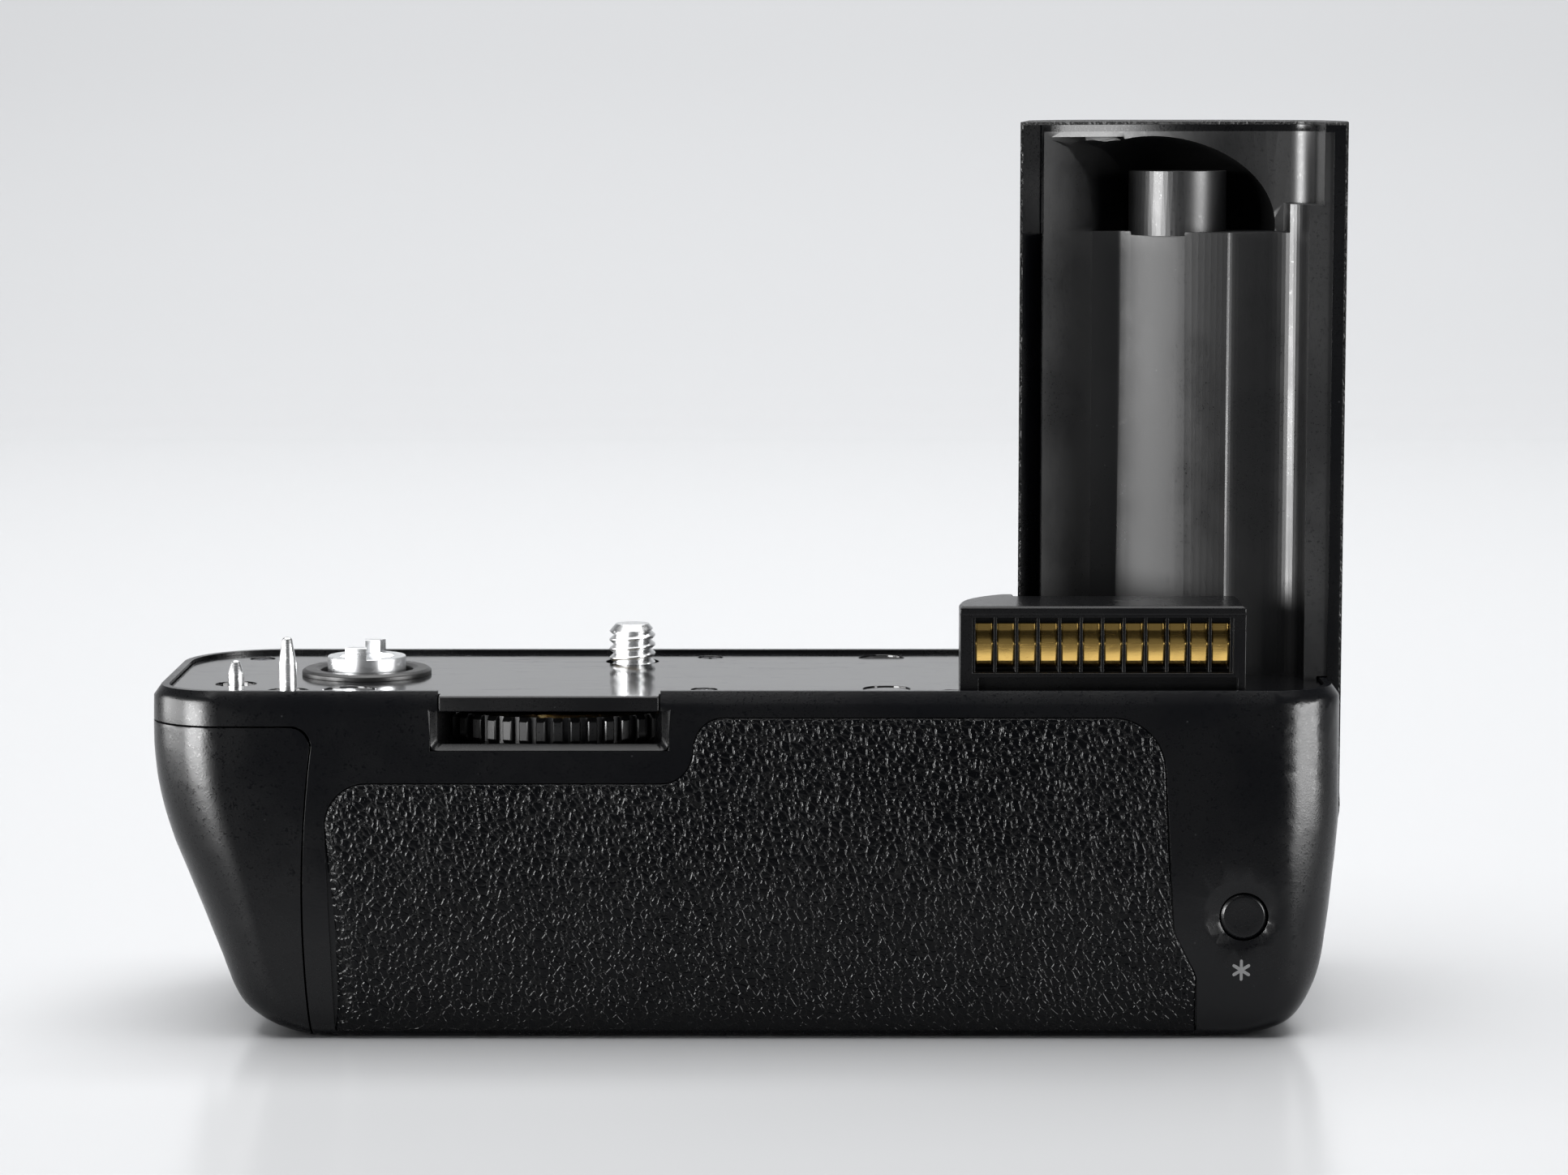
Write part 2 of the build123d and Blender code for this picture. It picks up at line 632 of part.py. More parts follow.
star_hole = rod(Plane(origin=(STAR_X, -45, STAR_Z), z_dir=(0, 1, 0)), STAR_R + 0.13, 14)
star_scoop = Sphere(SCOOP_R).moved(Location((STAR_X - 0.5, -36.75 - SCOOP_R + SCOOP_DEPTH, STAR_Z)))
with BuildPart() as main_housing:
    add(slab.part)
    add(main_region, mode=Mode.INTERSECT)
    add(hollow.part, mode=Mode.SUBTRACT)
    add(block(-39.2, BAY_END + 1.5, BAY_FRONT, BAY_FRONT + 1.0, WALL, CHASSIS_Z))
    add(block(BAY_END, BAY_END + 1.5, -35.2, BAY_FRONT + 0.5, WALL, CHASSIS_Z))
    for x, y in PLATE_SCREWS[1:2] + PLATE_SCREWS[3:]:
        add(rod(Plane((x, y, 41.0)), 2.6, PLATE_UNDER - 41.0))
    add(mouth.part, mode=Mode.SUBTRACT)
    add(block(-50, -38.6, -22.9, -2.5, 33.2, 38.7), mode=Mode.SUBTRACT)
    add(block(WINDOW_LEFT, WINDOW_RIGHT, -45, -30, WINDOW_BASE, WINDOW_TOP), mode=Mode.SUBTRACT)
    add(block(BAR_LEFT - 0.2, BAR_RIGHT + 0.2, -45, -32.4, BAR_UNDER, 50), mode=Mode.SUBTRACT)
    add(rod(Plane((WHEEL_X, WHEEL_Y, 38.0)), WHEEL_R + 0.5, 4.4), mode=Mode.SUBTRACT)
    add(rod(Plane((COUPLER_X, COUPLER_Y, 42.3)), COLLAR_BODY_R + 0.1, 3), mode=Mode.SUBTRACT)
    add(rod(Plane((COUPLER_X, COUPLER_Y, 38.0)), 3.2, 6), mode=Mode.SUBTRACT)
    add(rear_leather.part, mode=Mode.SUBTRACT)
    for piece in (*pins, base_room.part, tripod_socket.part, base_screws.part, plate_screws.part):
        add(piece, mode=Mode.SUBTRACT)
    add(rod(Plane.XY, 4.0, SOCKET_LENGTH), mode=Mode.SUBTRACT)
    add(star_hole, mode=Mode.SUBTRACT)
    add(star_scoop, mode=Mode.SUBTRACT)
save(main_housing.part, "main_housing")

left_wall = ((TOWER_LEFT, TOWER_REAR - 0.5), TROUGH_LEFT)
left_trough = open_space(
    [*left_wall, TROUGH_MIDDLE, Vector(*TROUGH_BOW), RIDGE, (RIDGE[0], -30), (TOWER_LEFT, -30)],
    LINER_BASE - 1,
    TROUGH_TOP,
)
right_trough = open_space(
    [RIDGE, Vector(*HALF_ROUND_DEEP), HALF_ROUND_RIGHT, (HALF_ROUND_RIGHT[0], -30), (RIDGE[0], -30)],
    LINER_BASE - 1,
    RIB_TOP,
)
upper_space = open_space(
    [
        left_wall[0], UPPER_LEFT, Vector(*UPPER_SWEEP), UPPER_BACK, Vector(*UPPER_BOW), UPPER_RIGHT,
        (UPPER_RIGHT[0], -30), (TOWER_LEFT, -30),
    ],
    TROUGH_TOP,
    TOWER_TOP + 1,
)

# Domed cavity above the troughs: two hollows and a horn at the left, which leaves a rounded flank
left_run = Vector(*left_wall[1]) - Vector(*left_wall[0])
flank_plane = Plane(
    origin=(*left_wall[0], 0), x_dir=left_run, z_dir=Vector(left_run.Y, -left_run.X, 0)
)
flank_low, flank_high = 95.0, FLANK_MIDDLE[1] + FLANK_R
with BuildPart() as flank:
    with BuildSketch(flank_plane):
        with Locations(FLANK_MIDDLE):
            Circle(FLANK_R)
        with Locations((-5.0, flank_low)):
            Rectangle(FLANK_MIDDLE[0] + 5.0, flank_high - flank_low, align=(Align.MIN, Align.MIN))
            Rectangle(
                FLANK_MIDDLE[0] + FLANK_R + 5.0, FLANK_MIDDLE[1] - flank_low, align=(Align.MIN, Align.MIN)
            )
    extrude(amount=30, dir=FLANK_DRIFT)
with BuildPart() as cavity:
    with BuildSketch(Plane(CAVITY_MIDDLE)):
        Ellipse(CAVITY_LONG, CAVITY_R)
        with Locations((0, -CAVITY_R)):
            Rectangle(2 * CAVITY_LONG, 2 * CAVITY_R, mode=Mode.SUBTRACT)
    revolve(axis=Axis(CAVITY_MIDDLE, (1, 0, 0)))
    add(Solid.make_sphere(CAVITY_R - 0.1).moved(Location(HOLLOW_MIDDLE)))
    add(open_space([UPPER_LEFT, HORN_RIGHT, HORN_INNER, HORN_BACK], TROUGH_TOP, HORN_TOP))
    add(block(0, 99, -60, 60, TROUGH_TOP, TOWER_TOP), mode=Mode.INTERSECT)
    add(flank.part, mode=Mode.SUBTRACT)

# Front cover with the grip's outer shell, thickened behind the facet for the finger controls
with BuildPart() as facet_pad:
    with BuildSketch(FACET_PLANE.offset(-FACET_PAD)):
        with Locations((0, CONTROL_MIDDLE)):
            Rectangle(FACET_WIDTH + 4, 2 * CONTROL_MIDDLE + 18)
    extrude(amount=FACET_PAD)

with BuildPart() as facet_cut:
    with BuildSketch(FACET_PLANE):
        with Locations((0, CONTROL_MIDDLE)):
            RectangleRounded(FACET_WIDTH + 6, 2 * CONTROL_MIDDLE + 16, 6.0)
    extrude(amount=12)

with BuildPart() as tower_skew:
    with BuildSketch(Plane.XY.offset(PLATE_TOP)):
        with BuildLine():
            Polyline(
                (TOWER_LEFT - 0.1, TOWER_REAR - 5),
                (TOWER_LEFT - 0.1, TOWER_REAR - 0.1),
                (TOWER_LEFT + TOWER_WALL + 0.3, TOWER_REAR + 3.3),
                (TOWER_LEFT + TOWER_WALL + 0.3, TOWER_REAR - 5),
                close=True,
            )
        make_face()
    extrude(amount=TOWER_TOP - PLATE_TOP + 1)

with BuildPart() as dial_ears:
    for side in (-1, 1):
        with BuildSketch(DIAL_PLANE.offset(side * (DIAL_WIDTH / 2 + 1.0) - 0.6)):
            Circle(2.2)
            with Locations((0, -4)):
                Rectangle(4.4, 8)
        extrude(amount=1.2)

with BuildPart() as front_cover:
    add(slab.part)
    add(column)
    for room in (main_region, hollow.part, column_room_low - body, column_room_high):
        add(room, mode=Mode.SUBTRACT)
    add(facet_pad.part & column)
    add(facet_cut.part, mode=Mode.SUBTRACT)
    with BuildSketch(DIAL_PLANE.offset(-DIAL_WIDTH / 2 - 0.4)):
        Circle(DIAL_R + 0.5)
    extrude(amount=DIAL_WIDTH + 0.8, mode=Mode.SUBTRACT)
    add(dial_ears.part & column)
    with BuildSketch(DIAL_PLANE.offset(-DIAL_WIDTH / 2 - 1.6)):
        Circle(DIAL_AXLE_R)
    extrude(amount=DIAL_WIDTH + 3.2, mode=Mode.SUBTRACT)
    with BuildSketch(FACET_PLANE.offset(-FACET_PAD - 1)):
        Circle(SHUTTER_R + 0.2)
    extrude(amount=FACET_PAD + 4, mode=Mode.SUBTRACT)
    with BuildSketch(FACET_PLANE.offset(-FACET_PAD - 6)):
        Circle(SHUTTER_R + 1.3)
    extrude(amount=6, mode=Mode.SUBTRACT)
    with BuildSketch(SWITCH_PLANE.offset(-SWITCH_SINK)):
        Circle(SWITCH_R + 0.3)
    extrude(amount=6, mode=Mode.SUBTRACT)
    with BuildSketch(SWITCH_PLANE.offset(-8)):
        Circle(SWITCH_SHAFT_R + RUNNING)
    extrude(amount=8, mode=Mode.SUBTRACT)
    for x, y in PLATE_SCREWS[:1]:
        add(rod(Plane((x, y, 41.0)), 2.6, PLATE_UNDER - 41.0))
    for x in BOARD_POSTS_X:
        add(rod(Plane(origin=(x, BOARD_Y + BOARD_THICK, BOARD_POST_Z), z_dir=(0, 1, 0)), 2.2, 4.0) & body)
    add(tower_skew.part, mode=Mode.SUBTRACT)
    add(upper_space, mode=Mode.SUBTRACT)
    for piece in (base_room.part, tripod_socket.part, base_screws.part, plate_screws.part):
        add(piece, mode=Mode.SUBTRACT)
    add(rod(Plane.XY, 4.0, SOCKET_LENGTH), mode=Mode.SUBTRACT)
save(front_cover.part, "front_cover")

# Leather round the outside of the grip: right side low down, all round above the controls
with BuildPart() as grip_leather:
    add(column_form(-LEATHER_THICK, TOWER_REAR, TOWER_TOP))
    add(block(40, 130, TOWER_REAR + 0.8, 60, SIDE_LEATHER_BASE, TOWER_TOP), mode=Mode.INTERSECT)
    add(column, mode=Mode.SUBTRACT)
    add(upper_space, mode=Mode.SUBTRACT)
    add(block(40, 130, SIDE_LEATHER_FRONT, 60, 0, FRONT_LEATHER_BASE), mode=Mode.SUBTRACT)
    add(block(40, 88, -60, 60, 0, FRONT_LEATHER_BASE), mode=Mode.SUBTRACT)
save(grip_leather.part, "grip_leather")

# Liner of the tower: troughs for the camera's own grip, a domed cavity above and a boss in it
with BuildPart() as grip_liner:
    add(block(40, LINER_RIGHT, LINER_REAR, LINER_BACK, LINER_BASE, TROUGH_TOP))
    add(block(LINER_RIGHT, 99, LINER_REAR, LINER_BACK, LIP_TOP, TROUGH_TOP))
    add(block(40, 99, LINER_BACK, CAVITY_BACK, TROUGH_TOP - 1.6, TROUGH_TOP))
    add(block(40, 99, LINER_REAR, CAVITY_BACK, TROUGH_TOP, LINER_TOP))
    add(upper_space, mode=Mode.SUBTRACT)
    add(cavity.part, mode=Mode.SUBTRACT)
    add(block(RIB_LEFT, 99, LINER_REAR, LINER_BACK, TROUGH_TOP, RIB_TOP))
    add(left_trough, mode=Mode.SUBTRACT)
    add(right_trough, mode=Mode.SUBTRACT)
    add(rod(Plane((BOSS_X, BOSS_Y, TROUGH_TOP - 0.5)), BOSS_R, BOSS_TOP - TROUGH_TOP + 0.5))
    add(column_room_high, mode=Mode.INTERSECT)
save(grip_liner.part, "grip_liner")

# Contact block: moulded case with a rounded left end, comb ribs, cover and leaf contacts
with BuildPart() as block_outline:
    with BuildSketch(Plane.XY.offset(PLATE_TOP)):
        with BuildLine():
            Line((BLOCK_LEFT, BLOCK_FRONT), (BLOCK_LEFT, BLOCK_FRONT + 1.5))
            ThreePointArc((BLOCK_LEFT, BLOCK_FRONT + 1.5), (45.5, -22.5), (50.0, BLOCK_BACK))
            Polyline(
                (50.0, BLOCK_BACK), (51.6, BLOCK_BACK), (51.6, BLOCK_STEP_Y), (BLOCK_RIGHT, BLOCK_STEP_Y),
                (BLOCK_RIGHT, BLOCK_FRONT), (BLOCK_LEFT, BLOCK_FRONT),
            )
        make_face()
    extrude(amount=BLOCK_TOP - PLATE_TOP)

comb_places = [CONTACT_FIRST + CONTACT_PITCH * (i - 0.5) for i in range(CONTACT_COUNT + 1)]
with BuildPart() as contact_block:
    add(block_outline.part)
    add(block(0, 130, -60, 0, BLOCK_TOP - COVER_THICK, 80), mode=Mode.SUBTRACT)
    add(block(BLOCK_LEFT + 1.6, BLOCK_RIGHT - 1.6, -60, SLOT_BACK, SLOT_BASE, SLOT_TOP), mode=Mode.SUBTRACT)
    below_sill = block(BLOCK_LEFT + 2.4, BLOCK_RIGHT - 1.0, -60, BLOCK_FRONT + 0.9, 40, BLOCK_SILL)
    add(below_sill, mode=Mode.SUBTRACT)
    for x in comb_places:
        add(block(x - 0.2, x + 0.2, BLOCK_FRONT + 1.0, SLOT_BACK + 0.1, SLOT_BASE - 0.1, SLOT_TOP + 0.1))
save(contact_block.part, "contact_block")

with BuildPart() as contact_cover:
    add(block_outline.part)
    add(block(0, 130, -60, 0, 0, BLOCK_TOP - COVER_THICK), mode=Mode.SUBTRACT)
    top_edges = contact_cover.faces().sort_by(Axis.Z)[-1].edges()
    chamfer(top_edges, 0.35)
save(contact_cover.part, "contact_cover")

with BuildPart() as contact_springs:
    for i in range(CONTACT_COUNT):
        x = CONTACT_FIRST + CONTACT_PITCH * i
        with BuildSketch(Plane.YZ.offset(x - CONTACT_WIDTH / 2)):
            with BuildLine():
                Polyline(
                    (SLOT_BACK, 48.7), (-30.3, 50.9), (-30.75, 51.5), (-30.3, 52.1), (SLOT_BACK, 54.0),
                    (SLOT_BACK, 53.6), (-30.0, 51.9), (-30.3, 51.5), (-30.0, 51.1), (SLOT_BACK, 49.1),
                    close=True,
                )
            make_face()
        extrude(amount=CONTACT_WIDTH)
save(contact_springs.part, "contact_springs")

# Chassis of the mechanism over the battery bay
with BuildPart() as chassis:
    add(block(CHASSIS_LEFT, CHASSIS_RIGHT, -32.6, 11.2, CHASSIS_Z, CHASSIS_Z + CHASSIS_THICK))
    add(block(-60, -38.0, -60, -22.6, 0, 60), mode=Mode.SUBTRACT)
    add(block(-60, -38.0, -2.9, 60, 0, 60), mode=Mode.SUBTRACT)
    add(rod(Plane((WHEEL_X, WHEEL_Y, 0)), WHEEL_AXLE_R, 60), mode=Mode.SUBTRACT)
    add(rod(Plane((IDLER_X, IDLER_Y, 0)), IDLER_AXLE_R, 60), mode=Mode.SUBTRACT)
    add(rod(Plane((COUPLER_X, COUPLER_Y, 0)), DRIVE_JOURNAL_R + RUNNING, 60), mode=Mode.SUBTRACT)
    add(rod(Plane((MOTOR_X, MOTOR_Y, 0)), 1.6, 60), mode=Mode.SUBTRACT)
save(chassis.part, "mechanism_chassis")

save(
    turned(
        [(0, CHASSIS_Z), (WHEEL_AXLE_R, CHASSIS_Z), (WHEEL_AXLE_R, PLATE_UNDER), (0, PLATE_UNDER)],
        WHEEL_X, WHEEL_Y,
    ),
    "wheel_axle",
)
save(
    turned(
        [
            (0, CHASSIS_Z), (IDLER_AXLE_R, CHASSIS_Z),
            (IDLER_AXLE_R, MIDDLE_GEAR_Z + MIDDLE_GEAR_THICK + 0.1),
            (0, MIDDLE_GEAR_Z + MIDDLE_GEAR_THICK + 0.1),
        ],
        IDLER_X, IDLER_Y,
    ),
    "idler_axle",
)

# Thumbwheel: dished disc with coarse chamfered teeth, and the gear fixed on its hub
with BuildPart() as wheel_blank:
    add(
        turned(
            [
                (WHEEL_AXLE_R + RUNNING, WHEEL_Z),
                (WHEEL_HUB_R, WHEEL_Z),
                (WHEEL_HUB_R, WHEEL_WEB_Z),
                (WHEEL_RIM_R, WHEEL_WEB_Z),
                (WHEEL_RIM_R, WHEEL_Z),
                (WHEEL_R - WHEEL_CHAMFER, WHEEL_Z),
                (WHEEL_R, WHEEL_Z + WHEEL_CHAMFER),
                (WHEEL_R, WHEEL_Z + WHEEL_THICK - WHEEL_CHAMFER),
                (WHEEL_R - WHEEL_CHAMFER, WHEEL_Z + WHEEL_THICK),
                (WHEEL_RIM_R, WHEEL_Z + WHEEL_THICK),
                (WHEEL_RIM_R, WHEEL_WEB_Z + WHEEL_WEB_THICK),
                (WHEEL_HUB_R, WHEEL_WEB_Z + WHEEL_WEB_THICK),
                (WHEEL_HUB_R, UPPER_GEAR_Z),
                (WHEEL_AXLE_R + RUNNING, UPPER_GEAR_Z),
            ]
        )
    )

wheel_points = []
for tooth in range(WHEEL_TEETH):
    middle = 2 * math.pi * tooth / WHEEL_TEETH
    root_r = WHEEL_R - WHEEL_TOOTH_DEPTH
    for radius, part_turn in ((root_r, -0.30), (WHEEL_R, -0.24), (WHEEL_R, 0.24), (root_r, 0.30)):
        turn = middle + 2 * math.pi * part_turn / WHEEL_TEETH
        wheel_points.append((radius * math.cos(turn), radius * math.sin(turn)))
with BuildPart() as wheel_teeth:
    with BuildSketch(Plane.XY.offset(WHEEL_Z - 1)):
        with BuildLine():
            Polyline(*wheel_points, close=True)
        make_face()
    extrude(amount=10)
attachment_wheel = (wheel_blank.part & wheel_teeth.part).moved(Location((WHEEL_X, WHEEL_Y, 0)))
save(attachment_wheel, "attachment_wheel")

# Attachment screw with its gear, both turned by the thumbwheel's gear
to_screw = bearing_to(WHEEL_X, WHEEL_Y, 0, 0)
screw_phase = to_screw + 180 + 180 / SCREW_GEAR_TEETH
wheel_bore = WHEEL_AXLE_R + RUNNING
save(
    gear(WHEEL_X, WHEEL_Y, UPPER_GEAR_Z, UPPER_GEAR_THICK, WHEEL_GEAR_TEETH, to_screw, wheel_bore),
    "wheel_gear",
)
save(
    gear(0, 0, UPPER_GEAR_Z, UPPER_GEAR_THICK, SCREW_GEAR_TEETH, screw_phase, SCREW_SEAT_R),
    "screw_gear",
)
save(
    turned(
        [
            (0, UPPER_GEAR_Z),
            (SCREW_SEAT_R, UPPER_GEAR_Z),
            (SCREW_SEAT_R, SCREW_SHOULDER_Z),
            (SCREW_R, SCREW_SHOULDER_Z),
            (SCREW_R, SCREW_SHOULDER_Z + 0.3),
            (SCREW_RELIEF_R, SCREW_SHOULDER_Z + 0.3),
            (SCREW_RELIEF_R, SCREW_RELIEF_TOP),
            (SCREW_R, SCREW_RELIEF_TOP),
            (SCREW_R, SCREW_TOP - SCREW_LEAD),
            (SCREW_R - 0.9, SCREW_TOP),
            (0, SCREW_TOP),
        ]
    ),
    "attachment_screw",
)

# Drive train: hollow drive shaft with its gear, sprung dog, idler and motor rotor
to_idler = bearing_to(COUPLER_X, COUPLER_Y, IDLER_X, IDLER_Y)
to_motor = bearing_to(IDLER_X, IDLER_Y, MOTOR_X, MOTOR_Y)
save(
    gear(COUPLER_X, COUPLER_Y, LOWER_GEAR_Z, LOWER_GEAR_THICK, DRIVE_TEETH, to_idler, DRIVE_SHAFT_R),
    "drive_gear",
)
save(
    turned(
        [
            (0, CHASSIS_Z), (DRIVE_JOURNAL_R, CHASSIS_Z), (DRIVE_JOURNAL_R, LOWER_GEAR_Z - 0.1),
            (DRIVE_SHAFT_R, LOWER_GEAR_Z - 0.1), (DRIVE_SHAFT_R, 43.2), (DOG_STEM_R + RUNNING, 43.2),
            (DOG_STEM_R + RUNNING, 36.0), (0, 36.0),
        ],
        COUPLER_X, COUPLER_Y,
    ),
    "drive_shaft",
)
with BuildPart() as coupler_dog:
    add(
        turned(
            [
                (0, 38.5), (DOG_STEM_R, 38.5), (DOG_STEM_R, 45.0), (DOG_R, 45.0),
                (DOG_R, DOG_RIM_TOP - 0.2), (DOG_R - 0.2, DOG_RIM_TOP), (DOG_INNER_R, DOG_RIM_TOP),
                (DOG_INNER_R, 45.9), (0, 45.9),
            ]
        )
    )
    for middle in (-101.0, 82.0):
        with BuildSketch(Plane.XY.offset(DOG_RIM_TOP - 0.5)):
            with BuildLine():
                for radius in (DOG_INNER_R, DOG_R - 0.15):
                    CenterArc((0, 0), radius, middle - 16, 32)
                for turn in (middle - 16, middle + 16):
                    unit = Vector(math.cos(math.radians(turn)), math.sin(math.radians(turn)))
                    Line(unit * DOG_INNER_R, unit * (DOG_R - 0.15))
            make_face()
        extrude(amount=DOG_LUG_TOP - DOG_RIM_TOP + 0.5)
save(coupler_dog.part.moved(Location((COUPLER_X, COUPLER_Y, 0))), "coupler_dog")

lower_pinion = gear(
    IDLER_X, IDLER_Y, LOWER_GEAR_Z, MIDDLE_GEAR_Z - LOWER_GEAR_Z, IDLER_PINION_TEETH,
    to_idler + 180 + 180 / IDLER_PINION_TEETH, IDLER_AXLE_R + RUNNING,
)
with BuildPart() as idler_gear:
    add(lower_pinion)
    add(
        gear(
            IDLER_X, IDLER_Y, MIDDLE_GEAR_Z, MIDDLE_GEAR_THICK, IDLER_TEETH, to_motor,
            IDLER_AXLE_R + RUNNING,
        )
    )
save(idler_gear.part, "idler_gear")

save(
    turned(
        [
            (MOTOR_SHAFT_R + RUNNING, MOTOR_BASE), (MOTOR_R - 0.4, MOTOR_BASE), (MOTOR_R, MOTOR_BASE + 0.4),
            (MOTOR_R, CHASSIS_Z - 0.4), (MOTOR_R - 0.4, CHASSIS_Z), (MOTOR_SHAFT_R + RUNNING, CHASSIS_Z),
        ],
        MOTOR_X, MOTOR_Y,
    ),
    "motor_can",
)
with BuildPart() as motor_rotor:
    add(rod(Plane((MOTOR_X, MOTOR_Y, MOTOR_BASE + 0.3)), MOTOR_SHAFT_R, 38.2 - MOTOR_BASE - 0.3))
    add(
        gear(
            MOTOR_X, MOTOR_Y, MIDDLE_GEAR_Z, MIDDLE_GEAR_THICK, MOTOR_TEETH,
            to_motor + 180 + 180 / MOTOR_TEETH, 0,
        )
    )
save(motor_rotor.part, "motor_rotor")

# Battery magazine: end cover, bulkhead, frame, eight cells and contact plates
with BuildPart() as end_cover:
    add(body)
    add(end_region(0.0), mode=Mode.INTERSECT)
    add(body_form(WALL) & block(-70, -20, -60, 60, WALL, SEAM_Z - 2.2), mode=Mode.SUBTRACT)
    for y, z in COVER_POSTS:
        add(rod(Plane(origin=(MAGAZINE_LEFT - BULKHEAD_THICK, y, z), z_dir=(-1, 0, 0)), 2.5, 20) & body)
    with BuildSketch(Plane(origin=(KEY_FLOOR_X, KEY_Y, KEY_Z), z_dir=(-1, 0, 0))):
        Circle(KEY_R + 0.5)
    extrude(amount=12, mode=Mode.SUBTRACT)
    add(
        rod(Plane(origin=(KEY_FLOOR_X, KEY_Y, KEY_Z), z_dir=(1, 0, 0)), KEY_R + 1.8, 1.6)
    )
    add(
        rod(Plane(origin=(KEY_FLOOR_X - 0.1, KEY_Y, KEY_Z), z_dir=(1, 0, 0)), KEY_SHAFT_R + RUNNING, 3),
        mode=Mode.SUBTRACT,
    )
save(end_cover.part, "end_cover")

with BuildPart() as bulkhead:
    with BuildSketch(Plane.YZ.offset(MAGAZINE_LEFT - BULKHEAD_THICK)):
        with Locations((BAY_Y, BAY_Z)):
            RectangleRounded(MAGAZINE_WIDTH, MAGAZINE_HEIGHT, MAGAZINE_CORNER)
    extrude(amount=BULKHEAD_THICK)
    add(
        rod(Plane(origin=(MAGAZINE_LEFT + 1, KEY_Y, KEY_Z), z_dir=(-1, 0, 0)), KEY_SHAFT_R + RUNNING, 4),
        mode=Mode.SUBTRACT,
    )
save(bulkhead.part, "magazine_bulkhead")

with BuildPart() as magazine_frame:
    for x0, x1 in FRAME_WALLS:
        with BuildSketch(Plane.YZ.offset(x0)):
            with Locations((BAY_Y, BAY_Z)):
                RectangleRounded(MAGAZINE_WIDTH, MAGAZINE_HEIGHT, MAGAZINE_CORNER)
        extrude(amount=x1 - x0)
    add(block(MAGAZINE_LEFT, MAGAZINE_RIGHT, BAY_Y - 0.4, BAY_Y + 0.4, BAY_Z - 14, BAY_Z + 14))
    add(block(MAGAZINE_LEFT, MAGAZINE_RIGHT, BAY_Y - 13.8, BAY_Y + 13.8, BAY_Z - 0.4, BAY_Z + 0.4))
    add(
        rod(Plane(origin=(MAGAZINE_LEFT, KEY_Y, KEY_Z), z_dir=(1, 0, 0)), KEY_SHAFT_R + 0.6, 1.5),
        mode=Mode.SUBTRACT,
    )
save(magazine_frame.part, "magazine_frame")

with BuildPart() as battery_cells:
    for start in CELL_STARTS:
        for side_y in (-1, 1):
            for side_z in (-1, 1):
                centre = (BAY_Y + side_y * CELL_PITCH / 2, BAY_Z + side_z * CELL_PITCH / 2)
                plus_right = side_y * side_z > 0
                origin = (start + (0 if plus_right else CELL_LENGTH + CELL_NUB), *centre)
                plane = Plane(origin=origin, z_dir=((1 if plus_right else -1), 0, 0))
                add(rod(plane, CELL_R, CELL_LENGTH))
                add(rod(plane.offset(CELL_LENGTH), 2.7, CELL_NUB))
save(battery_cells.part, "battery_cells")

with BuildPart() as magazine_contacts:
    for x in CONTACT_PLATES_X:
        for side_y in (-1, 1):
            y = BAY_Y + side_y * CELL_PITCH / 2
            add(block(x, x + 0.3, y - 3.2, y + 3.2, BAY_Z - 11, BAY_Z - 1) )
            add(block(x, x + 0.3, y - 3.2, y + 3.2, BAY_Z + 1, BAY_Z + 11))
save(magazine_contacts.part, "magazine_contacts")

with BuildPart() as bay_contacts:
    for side_z in (-1, 1):
        centre = (BAY_END - 1.2, BAY_Y, BAY_Z + side_z * 6.0)
        add(rod(Plane(origin=centre, z_dir=(1, 0, 0)), 2.4, 1.2))
save(bay_contacts.part, "bay_contacts")

# Turn-key of the magazine with its shaft, and the tongue on the shaft's inner end
key_plane = Plane(origin=(KEY_FLOOR_X - 0.2, KEY_Y, KEY_Z), x_dir=(0, 1, 0), z_dir=(-1, 0, 0))
with BuildPart() as lock_key:
    with BuildSketch(key_plane):
        Circle(KEY_R)
    extrude(amount=1.2)
    with BuildSketch(key_plane.offset(1.2)):
        SlotOverall(2 * KEY_R - 1.0, 3.0)
    extrude(amount=1.3)
    with BuildSketch(key_plane):
        Circle(KEY_SHAFT_R)
    extrude(amount=-(MAGAZINE_LEFT - 0.9 - KEY_FLOOR_X + 0.2))
save(lock_key.part, "lock_key")

with BuildPart() as lock_tongue:
    with BuildSketch(Plane(origin=(TONGUE_X, KEY_Y, KEY_Z), x_dir=(0, 1, 0), z_dir=(-1, 0, 0))):
        Circle(KEY_SHAFT_R + 1.5)
        with Locations((0, 4.5)):
            Rectangle(3.6, 9.0)
        Circle(KEY_SHAFT_R, mode=Mode.SUBTRACT)
    extrude(amount=1.5)
save(lock_tongue.part, "lock_tongue")

# Rear button with its flange and stem, spring disc, and the small board behind it
star_axis = Plane(origin=(STAR_X, STAR_FACE_Y, STAR_Z), z_dir=(0, 1, 0))
with BuildPart() as star_button:
    with BuildSketch(star_axis):
        Circle(STAR_R)
    extrude(amount=2.2)
    with BuildSketch(star_axis.offset(2.2)):
        Circle(STAR_R + 0.8)
    extrude(amount=0.7)
    with BuildSketch(star_axis.offset(2.9)):
        Circle(1.1)
    extrude(amount=0.7)
    chamfer(star_button.edges().filter_by(GeomType.CIRCLE).sort_by(Axis.Y)[0], 0.3)
save(star_button.part, "star_button")

with BuildPart() as switch_board:
    add(block(STAR_X - 6, STAR_X + 6, STAR_BOARD_Y, STAR_BOARD_Y + 1.0, STAR_Z - 8, STAR_Z + 8))
save(switch_board.part, "switch_board")
with BuildPart() as dome_switch:
    with BuildSketch(Plane(origin=(STAR_X, STAR_BOARD_Y, STAR_Z), z_dir=(0, -1, 0))):
        Circle(2.6)
    extrude(amount=0.5, taper=30)
save(dome_switch.part, "dome_switch")

